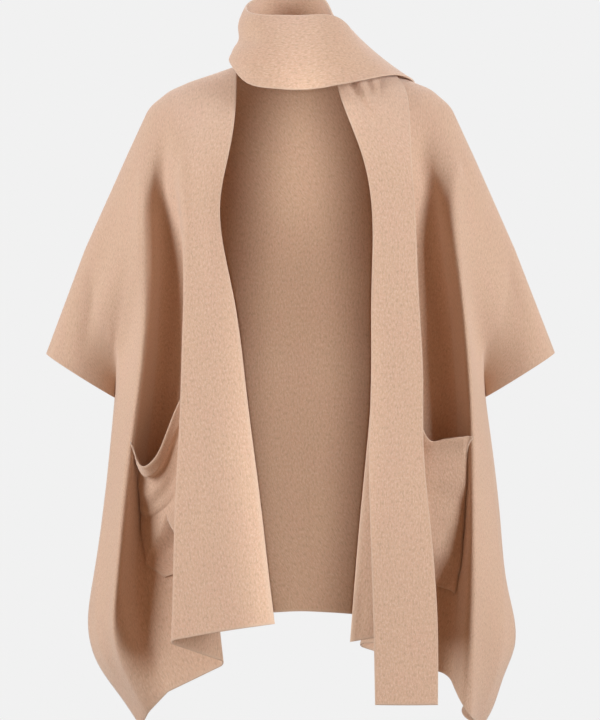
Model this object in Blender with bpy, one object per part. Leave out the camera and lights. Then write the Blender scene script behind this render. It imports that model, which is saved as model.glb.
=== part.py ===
"""Open-front poncho with two patch pockets and a scarf wound once round the neck.

The garment keeps the hollow form it has when worn. Every piece of cloth is a
closed wall on a smooth sheet. A panel's sheet hangs from the shoulder line and
is worked out from one table: a row for each section, a column for each fold.
Metres, +Z up, the wearer faces -Y and +X is the wearer's left. The origin lies
between the shoulders, where the wearer holds the garment up.
"""

from typing import NamedTuple

import bpy
import numpy as np

# Thickness of the cloth and the gap at its seams
PANEL_WALL = 0.0024
POCKET_WALL = 0.0022
SCARF_WALL = 0.003
SEAM_GAP = 0.0003
POCKET_CLEARANCE = 0.0006

# Places are given as (across, down, fore). Across and down are columns and rows
# of the 600 by 720 photograph, and fore is in millimetres toward the viewer.
PHOTO_ACROSS = 300.0
PHOTO_DOWN = 360.0
METRES_PER_PIXEL = 0.00148
VIEW_DISTANCE = 3.0
VIEW_HEIGHT = -0.4218

# Runs are metres of cloth below the shoulder line
CUFF_RUN = 0.24
HEM_RUN = 0.81
CUFF_BOW = 46.0
CUFF_LEAN = 0.5

# How many facets each stretch of a section and of a run gets
SPAN_STEPS = 1
CORNER_STEPS = 3
CUFF_ROWS = 7
SEAM_ROWS = 13
POCKET_ACROSS_STEPS = 16
POCKET_DOWN_STEPS = 10
SCARF_ACROSS_STEPS = 7
SCARF_STEPS_PER_STATION = 2

# A bend takes at most this share of the straight stretch on each side of it
BEND_SHARE = 0.46

# Limits that keep a division by a length, or by a bend's sine, away from zero
SHORTEST_LENGTH = 1e-12
WIDEST_COSINE = 0.9999

# The shoulder's bends open to their full radius over this share of the cloth's run
SHOULDER_SHARE = 0.5

# A pocket leaves the cloth behind it over this depth. The powers say how fast its
# fullness and its mouth's sag die away below the mouth.
POCKET_TAKE_UP = 0.006
POCKET_FULL_POWER = 8.0
POCKET_MOUTH_POWER = 1.6

# The scarf's stretches part by twice this, and its normals are taken this far each side
SCARF_JOIN_GAP = 0.0004
SCARF_PROBE = 0.004

# Brings the product of a share and what is left of it to one at its middle
BOW_PEAK = 4.0

# Colour of the cloth
CAMEL = (0.68, 0.49, 0.36)


class FrontSection(NamedTuple):
    """One row of a front: where a section at this run meets each fold."""

    run: float
    edge: tuple
    band: tuple
    fold: tuple
    tuck: tuple
    trough: tuple
    ridge: tuple
    sleeve: tuple


class BackSection(NamedTuple):
    """One row of a half back: where a section at this run meets each fold."""

    run: float
    centre: tuple
    neck: tuple
    blade: tuple
    wave: tuple
    flank: tuple
    trough: tuple
    ridge: tuple
    sleeve: tuple


class Side(NamedTuple):
    """The outer edge of a panel: the cuff's two ends and the seam below it."""

    cuff_top: tuple
    cuff_bottom: tuple
    seam: tuple


class Pocket(NamedTuple):
    """A patch on a front: its two seams as (fold number, run) from the top, and its mouth.

    Sag is how far the mouth hangs below a straight line between its corners, in
    millimetres at even shares across. Fullness is how far the cloth is drawn out
    of the fold to that line, and gape is how far the mouth stands off it.
    """

    outer: tuple
    inner: tuple
    sag: tuple
    fullness: float
    gape: float


class Station(NamedTuple):
    """One row of the scarf: its two edges and how far its middle bows out."""

    inner: tuple
    outer: tuple
    bow: float


# Bend radius of each fold, at the shoulder and at the hem
FRONT_RADII = {
    "band": (0.30, 0.30),
    "fold": (0.05, 0.008),
    "tuck": (0.05, 0.010),
    "trough": (0.05, 0.020),
    "ridge": (0.05, 0.024),
    "sleeve": (0.09, 0.020),
}
BACK_RADII = {
    "neck": (0.004, 0.20),
    "blade": (0.30, 0.10),
    "wave": (0.05, 0.08),
    "flank": (0.05, 0.08),
    "trough": (0.05, 0.06),
    "ridge": (0.07, 0.05),
    "sleeve": (0.09, 0.020),
}

FRONT_RIGHT = (
    FrontSection(0.00, (237, 67, 0), (214, 75, 0), (190, 83, 0), (170, 92, 0), (150, 108, 0),
                 (128, 156, 0), (86, 250, 0)),
    FrontSection(0.08, (236, 102, 65), (212, 108, 70), (192, 116, 72), (174, 122, 68), (160, 134, 59),
                 (138, 172, 64), (91, 272, 36)),
    FrontSection(0.16, (229, 153, 105), (206, 158, 112), (184, 164, 111), (174, 172, 90), (161, 185, 64),
                 (142, 222, 95), (100, 318, 48)),
    FrontSection(0.24, (220, 206, 120), (204, 212, 128), (181, 220, 122), (182, 229, 82), (163, 243, 48),
                 (146, 282, 106), (118, 350, 44)),
    FrontSection(0.36, (233, 294, 130), (210, 300, 140), (182, 306, 130), (192, 312, 70), (161, 325, 36),
                 (141, 372, 106), (114, 428, 40)),
    FrontSection(0.50, (247, 396, 135), (216, 400, 148), (178, 404, 138), (203, 410, 70), (153, 420, 36),
                 (128, 470, 99), (102, 526, 32)),
    FrontSection(0.65, (261, 507, 138), (220, 512, 154), (171, 517, 144), (214, 528, 70), (139, 550, 34),
                 (117, 584, 90), (99, 640, 30)),
    FrontSection(0.745, (269, 576, 139), (222, 584, 155), (168, 591, 145), (221, 604, 72), (146, 638, 38),
                 (121, 652, 74), (122, 684, 24)),
    FrontSection(0.81, (275, 624, 140), (224, 631, 156), (165, 642, 145), (228, 663, 80), (168, 692, 44),
                 (149, 712, 28), (144, 721, 10)),
)
SIDE_RIGHT = Side(
    cuff_top=(47, 354),
    cuff_bottom=(115.5, 398),
    seam=((110, 455), (102, 526), (93, 584), (89, 628), (97, 660), (121, 696), (141, 726)),
)

FRONT_LEFT = (
    FrontSection(0.00, (363, 67, 0), (386, 75, 0), (410, 82, 0), (430, 90, 0), (450, 107, 0),
                 (472, 155, 0), (514, 250, 0)),
    FrontSection(0.08, (365, 102, 65), (386, 108, 70), (402, 115, 71), (412, 121, 65), (428, 133, 57),
                 (460, 170, 63), (508, 272, 36)),
    FrontSection(0.16, (371, 153, 105), (390, 158, 112), (404, 163, 109), (407, 171, 86), (428, 183, 58),
                 (455, 220, 94), (499, 318, 48)),
    FrontSection(0.24, (377, 206, 120), (393, 212, 126), (408, 220, 117), (404, 229, 78), (438, 242, 50),
                 (461, 281, 105), (482, 350, 44)),
    FrontSection(0.36, (375, 294, 130), (394, 300, 136), (413, 306, 125), (402, 312, 72), (449, 325, 40),
                 (469, 372, 104), (486, 428, 40)),
    FrontSection(0.50, (371, 396, 135), (396, 400, 142), (420, 404, 131), (392, 410, 72), (455, 418, 38),
                 (472, 470, 98), (497, 526, 32)),
    FrontSection(0.65, (361, 507, 138), (394, 512, 148), (426, 518, 137), (376, 524, 72), (457, 548, 34),
                 (470, 580, 92), (503, 640, 32)),
    FrontSection(0.81, (350, 642, 142), (392, 635, 150), (432, 640, 141), (352, 644, 84), (449, 675, 24),
                 (467, 714, 66), (476, 722, 16)),
)
SIDE_LEFT = Side(
    cuff_top=(554, 353),
    cuff_bottom=(484.5, 397.5),
    seam=((492, 452), (500, 526), (507, 588), (514, 645), (503, 676), (489, 714), (480, 728)),
)

# The back's half on the wearer's right; the other half mirrors it
BACK_HALF = (
    BackSection(0.00, (300, 64, -52), (237, 67, 0), (214, 75, 0), (190, 83, 0), (170, 92, 0), (150, 108, 0),
                (128, 156, 0), (86, 250, 0)),
    BackSection(0.08, (300, 94, -88), (240, 98, -64), (213, 106, -62), (192, 114, -64), (172, 122, -62),
                (153, 138, -60), (131, 176, -60), (91, 272, -36)),
    BackSection(0.16, (300, 148, -112), (242, 150, -104), (211, 156, -106), (191, 162, -104),
                (172, 172, -94), (156, 190, -88), (127, 228, -92), (100, 318, -48)),
    BackSection(0.24, (300, 204, -122), (243, 206, -120), (209, 210, -128), (188, 218, -120),
                (172, 230, -104), (157, 245, -92), (121, 288, -104), (118, 352, -44)),
    BackSection(0.36, (300, 288, -130), (243, 290, -132), (208, 292, -146), (187, 298, -132),
                (170, 310, -106), (154, 326, -92), (117, 372, -108), (114, 430, -42)),
    BackSection(0.50, (300, 386, -136), (243, 388, -140), (206, 390, -160), (186, 396, -138),
                (168, 408, -104), (150, 424, -90), (114, 466, -110), (104, 528, -38)),
    BackSection(0.65, (300, 492, -142), (243, 494, -146), (205, 498, -170), (184, 506, -142),
                (165, 520, -102), (146, 540, -86), (113, 572, -106), (101, 636, -32)),
    BackSection(0.81, (300, 611, -148), (243, 614, -150), (204, 620, -176), (180, 632, -142),
                (162, 650, -100), (146, 664, -82), (124, 680, -90), (140, 714, -20)),
)

POCKET_RIGHT = Pocket(
    outer=((5.10, 0.457), (4.52, 0.538), (4.41, 0.595), (3.95, 0.635), (3.55, 0.689)),
    inner=((2.42, 0.472), (2.42, 0.530), (2.42, 0.585), (2.42, 0.640), (2.42, 0.695)),
    sag=(0, 37, 54, 57, 52, 36, 19, 6, 0),
    fullness=1.0,
    gape=0.006,
)
POCKET_LEFT = Pocket(
    outer=((5.15, 0.446), (4.62, 0.530), (4.57, 0.590), (4.50, 0.640), (4.15, 0.700)),
    inner=((2.42, 0.500), (2.42, 0.550), (2.42, 0.602), (2.42, 0.655), (2.42, 0.708)),
    sag=(0, 5, 11, 18, 25, 33, 27, 4, 0),
    fullness=1.0,
    gape=0.004,
)

# The scarf from its front end, up round the neck and over the shoulder to its back end
SCARF_FRONT_END = (
    Station((375, 705, 164), (438, 705, 162), 0.003),
    Station((373, 610, 162), (437, 606, 160), 0.004),
    Station((370, 518, 158), (429, 512, 156), 0.005),
    Station((369, 450, 152), (423.5, 446, 150), 0.005),
    Station((371, 380, 146), (423, 378, 145), 0.004),
    Station((371.4, 290, 141), (418.5, 290, 139), 0.003),
    Station((372, 213, 133), (415, 209, 130), 0.002),
    Station((364, 162, 120), (411.5, 158, 120), 0.002),
    Station((347, 115, 100), (409.5, 115, 86), 0.004),
    Station((337, 85, 80), (404, 87, 47), 0.006),
    Station((333, 50, 46), (387, 68, 4), -0.004),
)
SCARF_BACK_NECK = (
    Station((332, 18, 4), (374, 62, -30), -0.006),
    Station((322, -3, -40), (348, 66, -50), 0.0),
    Station((296, -8, -66), (298, 69, -64), 0.004),
    Station((266, -5, -50), (252, 64, -50), 0.004),
    Station((250, 2, -12), (234, 60, -14), 0.004),
)
SCARF_NECK_WRAP = (
    Station((247, 9, 34), (233, 66, 38), 0.006),
    Station((257, 14, 74), (249, 84, 84), 0.008),
    Station((280, 15, 94), (277, 89, 110), 0.010),
    Station((305, 15, 100), (303, 90, 118), 0.010),
    Station((330, 15, 86), (334, 86, 110), 0.008),
    Station((344, 22, 58), (364, 80, 88), 0.004),
    Station((350, 29, 22), (396, 75, 44), -0.003),
)
SCARF_BACK_END = (
    Station((354, 34, -16), (412, 80.0, -2), -0.003),
    Station((359, 50, -58), (416, 90.5, -50), 0.0),
    Station((363, 78, -88), (418, 116, -78), 0.004),
    Station((366, 126, -112), (420, 154, -111), 0.004),
    Station((368, 205, -134), (421, 218, -134), 0.003),
    Station((369, 290, -152), (421, 298, -150), 0.003),
    Station((370, 392, -166), (421, 396, -164), 0.003),
)


def placed(place) -> np.ndarray:
    """Turn (across, down, fore) into a point in metres."""
    across, down, fore = place
    depth = -fore / 1000.0
    spread = METRES_PER_PIXEL * (VIEW_DISTANCE + depth) / VIEW_DISTANCE
    return np.array([
        (across - PHOTO_ACROSS) * spread,
        depth,
        VIEW_HEIGHT - (down - PHOTO_DOWN) * spread,
    ])


def mirrored(place) -> tuple:
    """Mirror a place to the other side of the body."""
    across, down, fore = place
    return (2.0 * PHOTO_ACROSS - across, down, fore)


def spline(knots, points, at, start=None) -> np.ndarray:
    """Smooth cubic curve through points at knots; start fixes its first slope."""
    knots = np.asarray(knots, dtype=float)
    points = np.asarray(points, dtype=float)
    count = len(knots)
    gaps = np.diff(knots)
    slopes = np.diff(points, axis=0) / gaps[:, None]
    matrix = np.zeros((count, count))
    right = np.zeros((count, 3))
    for row in range(1, count - 1):
        matrix[row, row - 1] = gaps[row]
        matrix[row, row] = 2.0 * (gaps[row - 1] + gaps[row])
        matrix[row, row + 1] = gaps[row - 1]
        right[row] = 3.0 * (gaps[row] * slopes[row - 1] + gaps[row - 1] * slopes[row])
    matrix[0, 0] = 2.0
    matrix[0, 1] = 1.0
    right[0] = 3.0 * slopes[0]
    if start is not None:
        matrix[0, 0] = 1.0
        matrix[0, 1] = 0.0
        right[0] = start
    matrix[-1, -2] = 1.0
    matrix[-1, -1] = 2.0
    right[-1] = 3.0 * slopes[-1]
    tangents = np.linalg.solve(matrix, right)
    at = np.clip(np.asarray(at, dtype=float), knots[0], knots[-1])
    cell = np.clip(np.searchsorted(knots, at, side="right") - 1, 0, count - 2)
    gap = gaps[cell][:, None]
    part = ((at - knots[cell]) / gaps[cell])[:, None]
    return (
        (2.0 * part**3 - 3.0 * part**2 + 1.0) * points[cell]
        + (part**3 - 2.0 * part**2 + part) * gap * tangents[cell]
        + (3.0 * part**2 - 2.0 * part**3) * points[cell + 1]
        + (part**3 - part**2) * gap * tangents[cell + 1]
    )


def unit(vectors) -> np.ndarray:
    """Scale vectors to length one."""
    lengths = np.linalg.norm(vectors, axis=-1, keepdims=True)
    return vectors / np.maximum(lengths, SHORTEST_LENGTH)


def run_rows() -> np.ndarray:
    """Runs of the rows of a panel; one row lies on the end of the cuff."""
    cuff = np.linspace(0.0, CUFF_RUN, CUFF_ROWS + 1)
    seam = np.linspace(CUFF_RUN, HEM_RUN, SEAM_ROWS + 1)
    return np.concatenate([cuff, seam[1:]])


def side_path(side, runs, facing) -> np.ndarray:
    """Outer edge of a panel: half an oval round the cuff, then the side seam.

    The seam lies in the plane between front and back, and facing is +1 for a
    front and -1 for the back.
    """
    top = placed((*side.cuff_top, 0.0))
    bottom = placed((*side.cuff_bottom, 0.0))
    seam = np.array([bottom] + [placed((*place, 0.0)) for place in side.seam])
    steps = np.linalg.norm(np.diff(seam, axis=0), axis=1)
    knots = np.concatenate([[0.0], np.cumsum(steps)])
    share = np.clip((runs - CUFF_RUN) / (HEM_RUN - CUFF_RUN), 0.0, 1.0)
    path = spline(knots, seam, share * knots[-1])
    angle = np.pi * np.clip(runs / CUFF_RUN, 0.0, 1.0)
    along = (0.5 - 0.5 * np.cos(angle))[:, None]
    oval = top + along * (bottom - top)
    oval[:, 1] = -facing * CUFF_BOW / 1000.0 * np.sin(angle) * (1.0 - CUFF_LEAN * angle / np.pi)
    return np.where((runs < CUFF_RUN)[:, None], oval, path)


def rounded(keys, radii) -> tuple:
    """Join key points by straight spans with a round bend at each inner key.

    keys is rows by keys by 3 and radii is rows by keys. Returns the points and
    the column on which each key falls.
    """
    columns = [keys[:, 0]]
    marks = [0]
    last = keys.shape[1] - 1
    leave = keys[:, 0]
    for key in range(1, last):
        corner = keys[:, key]
        back = keys[:, key - 1] - corner
        ahead = keys[:, key + 1] - corner
        cosine = np.sum(unit(back) * unit(ahead), axis=1)
        half = 0.5 * np.arccos(np.clip(cosine, -WIDEST_COSINE, WIDEST_COSINE))
        reach = radii[:, key] / np.tan(half)
        back_reach = np.minimum(reach, BEND_SHARE * np.linalg.norm(back, axis=1))[:, None]
        ahead_reach = np.minimum(reach, BEND_SHARE * np.linalg.norm(ahead, axis=1))[:, None]
        enter = corner + unit(back) * back_reach
        exit_point = corner + unit(ahead) * ahead_reach
        for step in range(1, SPAN_STEPS + 1):
            columns.append(leave + (enter - leave) * step / SPAN_STEPS)
        weight = np.sin(half)[:, None]
        for step in range(1, CORNER_STEPS + 1):
            part = step / CORNER_STEPS
            first = (1.0 - part) ** 2
            middle = 2.0 * part * (1.0 - part) * weight
            end = part**2
            bend = (first * enter + middle * corner + end * exit_point) / (first + middle + end)
            columns.append(bend)
        marks.append(len(columns) - 1 - CORNER_STEPS / 2.0)
        leave = exit_point
    for step in range(1, SPAN_STEPS + 1):
        columns.append(leave + (keys[:, last] - leave) * step / SPAN_STEPS)
    marks.append(len(columns) - 1)
    return np.stack(columns, axis=1), marks


def key_paths(sections, names, runs, facing) -> np.ndarray:
    """Path of each fold down the panel, level where it leaves the shoulder."""
    knots = [section.run for section in sections]
    start = np.array([0.0, -facing, 0.0])
    paths = []
    for name in names:
        points = [placed(getattr(section, name)) for section in sections]
        paths.append(spline(knots, points, runs, start))
    return np.stack(paths, axis=1)


def key_radii(names, table, runs) -> np.ndarray:
    """Bend radius of each fold at each run, from the shoulder's to the hem's."""
    share = np.clip(runs / (SHOULDER_SHARE * HEM_RUN), 0.0, 1.0)
    columns = []
    for name in names:
        top, hem = table.get(name, (0.0, 0.0))
        columns.append(top + (hem - top) * share)
    return np.stack(columns, axis=1)


def sheet_normals(grid) -> np.ndarray:
    """Unit normals of a sheet, from its steps across and along."""
    across = np.gradient(grid, axis=1)
    along = np.gradient(grid, axis=0)
    return unit(np.cross(across, along))


def build_front(sections, side, hand) -> tuple:
    """Sheet, normals and fold columns of a front; hand is +1 on the wearer's right."""
    names = FrontSection._fields[1:]
    runs = run_rows()
    keys = key_paths(sections, names, runs, 1.0)
    keys = np.concatenate([keys, side_path(side, runs, 1.0)[:, None]], axis=1)
    radii = key_radii(names + ("side",), FRONT_RADII, runs)
    grid, marks = rounded(keys, radii)
    normals = sheet_normals(grid) * hand
    oval = np.sin(np.pi * np.clip(runs / CUFF_RUN, 0.0, 1.0))
    normals[0, :, 1] = 0.0
    normals[:, -1, 1] *= oval
    return grid, unit(normals), marks


def build_back() -> tuple:
    """Sheet and normals of the whole back, from the wearer's right side to the left."""
    names = BackSection._fields[1:]
    runs = run_rows()
    right_keys = key_paths(BACK_HALF, names, runs, -1.0)
    left_sections = []
    for section in BACK_HALF:
        left_sections.append(BackSection(section.run, *[mirrored(place) for place in section[1:]]))
    left_keys = key_paths(left_sections, names, runs, -1.0)
    right_side = side_path(SIDE_RIGHT, runs, -1.0)[:, None]
    left_side = side_path(SIDE_LEFT, runs, -1.0)[:, None]
    keys = np.concatenate([right_side, right_keys[:, :0:-1], left_keys, left_side], axis=1)
    order = ("side",) + names[:0:-1] + names + ("side",)
    radii = key_radii(order, BACK_RADII, runs)
    radii[:, len(names)] = BACK_RADII["blade"][0]
    grid, marks = rounded(keys, radii)
    normals = sheet_normals(grid)
    oval = np.sin(np.pi * np.clip(runs / CUFF_RUN, 0.0, 1.0))
    neck_columns = np.arange(grid.shape[1])
    on_crest = (neck_columns <= marks[len(names) - 1]) | (neck_columns >= marks[len(names) + 1])
    normals[0, on_crest, 1] = 0.0
    normals[:, 0, 1] *= oval
    normals[:, -1, 1] *= oval
    return grid, unit(normals)


def at_fold(grid, marks, fold, run) -> np.ndarray:
    """Point or normal of a sheet at a fold number and a run, between its columns."""
    column = np.interp(fold, np.arange(len(marks)), marks)
    row = np.interp(run, run_rows(), np.arange(grid.shape[0]))
    left = np.clip(np.floor(column).astype(int), 0, grid.shape[1] - 2)
    top = np.clip(np.floor(row).astype(int), 0, grid.shape[0] - 2)
    right_share = (column - left)[..., None]
    low_share = (row - top)[..., None]
    upper = grid[top, left] * (1.0 - right_share) + grid[top, left + 1] * right_share
    lower = grid[top + 1, left] * (1.0 - right_share) + grid[top + 1, left + 1] * right_share
    return upper * (1.0 - low_share) + lower * low_share


def seam_line(places, down) -> tuple:
    """Fold numbers and runs down one seam of a pocket."""
    knots = np.linspace(0.0, 1.0, len(places))
    points = [(fold, run, 0.0) for fold, run in places]
    line = spline(knots, points, down)
    return line[:, :1], line[:, 1:2]


def build_pocket(pocket, grid, normals, marks) -> tuple:
    """A patch made from the front's own points, moved out, full and open at its top."""
    across = np.linspace(0.0, 1.0, POCKET_ACROSS_STEPS + 1)[None, :]
    down = np.linspace(0.0, 1.0, POCKET_DOWN_STEPS + 1)
    outer_fold, outer_run = seam_line(pocket.outer, down)
    inner_fold, inner_run = seam_line(pocket.inner, down)
    down = down[:, None]
    fold = outer_fold + (inner_fold - outer_fold) * across
    run = outer_run + (inner_run - outer_run) * across
    out = unit(at_fold(normals, marks, fold, run))
    lift = 0.5 * PANEL_WALL + SEAM_GAP + 0.5 * POCKET_WALL + POCKET_CLEARANCE
    base = at_fold(grid, marks, fold, run) + out * lift
    bridge = base[:, :1] + (base[:, -1:] - base[:, :1]) * across[..., None]
    shift = bridge - base
    share = np.clip(-shift[..., 1] / POCKET_TAKE_UP, 0.0, 1.0)
    share *= pocket.fullness * (1.0 - down**POCKET_FULL_POWER)
    shift *= share[..., None]
    knots = np.linspace(0.0, 1.0, len(pocket.sag))
    sag = spline(knots, [(value / 1000.0, 0.0, 0.0) for value in pocket.sag], across[0])[:, 0]
    near_mouth = (1.0 - down) ** POCKET_MOUTH_POWER
    patch = base + shift
    patch[..., 1] -= pocket.gape * np.sin(np.pi * across) * near_mouth
    patch[..., 2] -= sag * near_mouth
    return patch, sheet_normals(patch)


def band_at(stations, knots, at) -> tuple:
    """Flat sections of the scarf at runs along it, and how far each point bows out."""
    inner = np.array([placed(station.inner) for station in stations])
    outer = np.array([placed(station.outer) for station in stations])
    bows = np.array([[station.bow, 0.0, 0.0] for station in stations])
    share = np.linspace(0.0, 1.0, SCARF_ACROSS_STEPS + 1)[None, :, None]
    flat = spline(knots, inner, at)[:, None] * (1.0 - share) + spline(knots, outer, at)[:, None] * share
    return flat, spline(knots, bows, at)[:, None, :1] * BOW_PEAK * share * (1.0 - share)


def band_normals(stations, knots, at) -> np.ndarray:
    """Unit normals of the scarf's flat sections at runs along it."""
    here = band_at(stations, knots, at)[0]
    before = band_at(stations, knots, at - SCARF_PROBE)[0]
    after = band_at(stations, knots, at + SCARF_PROBE)[0]
    return unit(np.cross(np.gradient(here, axis=1), after - before))


def build_scarf(stretches) -> list:
    """Sheets and normals of the scarf's stretches, cut one after another from one band."""
    whole = [station for stretch in stretches for station in stretch]
    middle = np.array([0.5 * (placed(station.inner) + placed(station.outer)) for station in whole])
    knots = np.concatenate([[0.0], np.cumsum(np.linalg.norm(np.diff(middle, axis=0), axis=1))])
    sheets = []
    begin = knots[0]
    used = 0
    for stretch in stretches:
        used += len(stretch)
        finish = knots[-1] if used == len(whole) else 0.5 * (knots[used - 1] + knots[used])
        end = finish if used == len(whole) else finish - SCARF_JOIN_GAP
        at = np.linspace(begin, end, SCARF_STEPS_PER_STATION * len(stretch) + 1)
        flat, bow = band_at(whole, knots, at)
        out = band_normals(whole, knots, at)
        sheets.append((flat + out * bow, out))
        begin = finish + SCARF_JOIN_GAP
    return sheets


def wall(name, grid, normals, thickness, colour, limit=None) -> None:
    """Close a sheet into a wall and add it to the scene; limit is a seam plane's side."""
    outer = grid + normals * thickness / 2.0
    inner = grid - normals * thickness / 2.0
    if limit is not None:
        plane = limit * SEAM_GAP / 2.0
        for skin in (outer, inner):
            skin[..., 1] = np.minimum(skin[..., 1], plane) if limit < 0 else np.maximum(skin[..., 1], plane)
    rows, columns = grid.shape[:2]
    count = rows * columns
    index = np.arange(count).reshape(rows, columns)
    faces = []
    for row in range(rows - 1):
        for column in range(columns - 1):
            a = index[row, column]
            b = index[row, column + 1]
            c = index[row + 1, column + 1]
            d = index[row + 1, column]
            faces.append((a, b, c, d))
            faces.append((a + count, d + count, c + count, b + count))
    ring = list(index[0, :]) + list(index[1:, -1]) + list(index[-1, -2::-1]) + list(index[-2:0:-1, 0])
    for here, there in zip(ring, ring[1:] + ring[:1]):
        faces.append((there, here, here + count, there + count))
    points = np.concatenate([outer.reshape(-1, 3), inner.reshape(-1, 3)])
    mesh = bpy.data.meshes.new(name)
    mesh.from_pydata(points.tolist(), [], [tuple(int(corner) for corner in face) for face in faces])
    mesh.validate()
    mesh.update()
    solid = bpy.data.objects.new(name, mesh)
    bpy.context.scene.collection.objects.link(solid)
    mesh.materials.append(cloth_material(name, colour))
    mesh.shade_smooth()
    outward(mesh)


def outward(mesh) -> None:
    """Turn all faces out where the wall came out inside out."""
    volume = 0.0
    for polygon in mesh.polygons:
        corners = [np.array(mesh.vertices[corner].co) for corner in polygon.vertices]
        for second in range(1, len(corners) - 1):
            volume += np.dot(corners[0], np.cross(corners[second], corners[second + 1]))
    if volume < 0.0:
        mesh.flip_normals()
        mesh.update()


def cloth_material(name, colour):
    """Matt felted knit in one colour."""
    material = bpy.data.materials.new(name + "_cloth")
    material.use_nodes = True
    shader = material.node_tree.nodes["Principled BSDF"]
    shader.inputs["Base Color"].default_value = (*colour, 1.0)
    shader.inputs["Roughness"].default_value = 0.95
    shader.inputs["Metallic"].default_value = 0.0
    return material


def main() -> None:
    """Build every piece of cloth."""
    for old in list(bpy.data.objects):
        bpy.data.objects.remove(old, do_unlink=True)
    right_grid, right_normals, right_marks = build_front(FRONT_RIGHT, SIDE_RIGHT, 1.0)
    left_grid, left_normals, left_marks = build_front(FRONT_LEFT, SIDE_LEFT, -1.0)
    back_grid, back_normals = build_back()
    wall("front_right", right_grid, right_normals, PANEL_WALL, CAMEL, -1.0)
    wall("front_left", left_grid, left_normals, PANEL_WALL, CAMEL, -1.0)
    wall("back_panel", back_grid, back_normals, PANEL_WALL, CAMEL, 1.0)
    patch, out = build_pocket(POCKET_RIGHT, right_grid, right_normals, right_marks)
    wall("pocket_right", patch, out, POCKET_WALL, CAMEL)
    patch, out = build_pocket(POCKET_LEFT, left_grid, left_normals, left_marks)
    wall("pocket_left", patch, out, POCKET_WALL, CAMEL)
    sheets = build_scarf((SCARF_FRONT_END, SCARF_BACK_NECK, SCARF_NECK_WRAP, SCARF_BACK_END))
    names = ("scarf_front_end", "scarf_back_neck", "scarf_neck_wrap", "scarf_back_end")
    for name, (sheet, out) in zip(names, sheets):
        wall(name, sheet, out, SCARF_WALL, CAMEL)


main()
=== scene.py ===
"""Dresses the open-front poncho and its scarf in soft felted knit.

Every piece of cloth is a thin closed wall on a smooth sheet. A panel's sheet hangs
from the shoulder line and is worked out from one table: a row for each section, a
column for each fold. Creases and low swells then move its points along their
normals, and the free edges are rounded. Metres, +Z up, the wearer faces -Y and +X
is the wearer's left.
"""

import sys
import logging
from dataclasses import dataclass
from enum import Enum
from typing import NamedTuple, Optional, Sequence

import bpy
import numpy as np
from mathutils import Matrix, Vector


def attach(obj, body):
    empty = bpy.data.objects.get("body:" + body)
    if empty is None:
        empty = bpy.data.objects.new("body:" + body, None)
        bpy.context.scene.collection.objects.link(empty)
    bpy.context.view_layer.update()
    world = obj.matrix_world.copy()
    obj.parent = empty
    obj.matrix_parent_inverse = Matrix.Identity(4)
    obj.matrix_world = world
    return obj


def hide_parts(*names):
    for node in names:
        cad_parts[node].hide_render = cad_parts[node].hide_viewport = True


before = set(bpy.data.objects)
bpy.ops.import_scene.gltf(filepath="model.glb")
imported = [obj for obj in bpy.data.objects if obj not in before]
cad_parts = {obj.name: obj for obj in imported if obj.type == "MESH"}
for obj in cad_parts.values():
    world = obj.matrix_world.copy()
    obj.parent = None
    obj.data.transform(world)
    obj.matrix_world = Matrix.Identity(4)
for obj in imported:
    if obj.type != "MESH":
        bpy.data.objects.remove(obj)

LOG = logging.getLogger("poncho")
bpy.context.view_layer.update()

Place = tuple[float, float, float]
Spot = tuple[float, float]
Colour = tuple[float, float, float]

# Lengths below this are taken as this, so that no vector is divided by zero
SHORTEST_LENGTH = 1e-12
MILLIMETRES = 1000.0


@dataclass(frozen=True)
class PhotoFrame:
    """The 600 by 720 photograph as a ruler for places on the garment."""

    across: float = 300.0
    down: float = 360.0
    rows: float = 720.0
    metres_per_pixel: float = 0.00148
    distance: float = 3.0
    height: float = -0.4218

    def placed(self, places: Sequence) -> np.ndarray:
        """Turn (across, down, fore) into points in metres.

        A pixel spans metres_per_pixel at depth zero and grows with the distance.

        Args:
            places: Columns and rows of the photograph and millimetres toward the viewer.

        Returns:
            Points in metres, in the same order.
        """
        places = np.asarray(places, dtype=float)
        depth = -places[..., 2] / MILLIMETRES
        spread = self.metres_per_pixel * (self.distance + depth) / self.distance
        x = (places[..., 0] - self.across) * spread
        z = self.height - (places[..., 1] - self.down) * spread
        return np.stack([x, depth, z], axis=-1)

    def seen(self, points: np.ndarray) -> np.ndarray:
        """Turn points in metres into columns and rows of the photograph.

        Args:
            points: Points in metres.

        Returns:
            The column and row at which each is seen, the inverse of placed.
        """
        spread = self.metres_per_pixel * (self.distance + points[..., 1]) / self.distance
        column = self.across + points[..., 0] / spread
        row = self.down - (points[..., 2] - self.height) / spread
        return np.stack([column, row], axis=-1)

    def mirrored(self, place: Place) -> Place:
        """The same place on the other side of the body."""
        return (2.0 * self.across - place[0], place[1], place[2])


PHOTO = PhotoFrame()


class FrontSection(NamedTuple):
    """One row of a front: where a section at this run meets each fold."""

    run: float
    edge: Place
    band: Place
    fold: Place
    tuck: Place
    trough: Place
    ridge: Place
    sleeve: Place


class BackSection(NamedTuple):
    """One row of a half back: where a section at this run meets each fold."""

    run: float
    centre: Place
    neck: Place
    blade: Place
    wave: Place
    flank: Place
    trough: Place
    ridge: Place
    sleeve: Place


class Side(NamedTuple):
    """The outer edge of a panel: the cuff's two ends and the seam below it."""

    cuff_top: Spot
    cuff_bottom: Spot
    seam: tuple[Spot, ...]


class Crease(NamedTuple):
    """A soft trough, or a ridge where its depth is negative, drawn on the photograph.

    The depth and width are millimetres, fade is the share of the line over which
    each end dies away, and folds is the range of fold numbers it lies on.
    """

    line: tuple[Spot, ...]
    depth: float
    width: float
    fade: Spot
    folds: Spot


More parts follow.
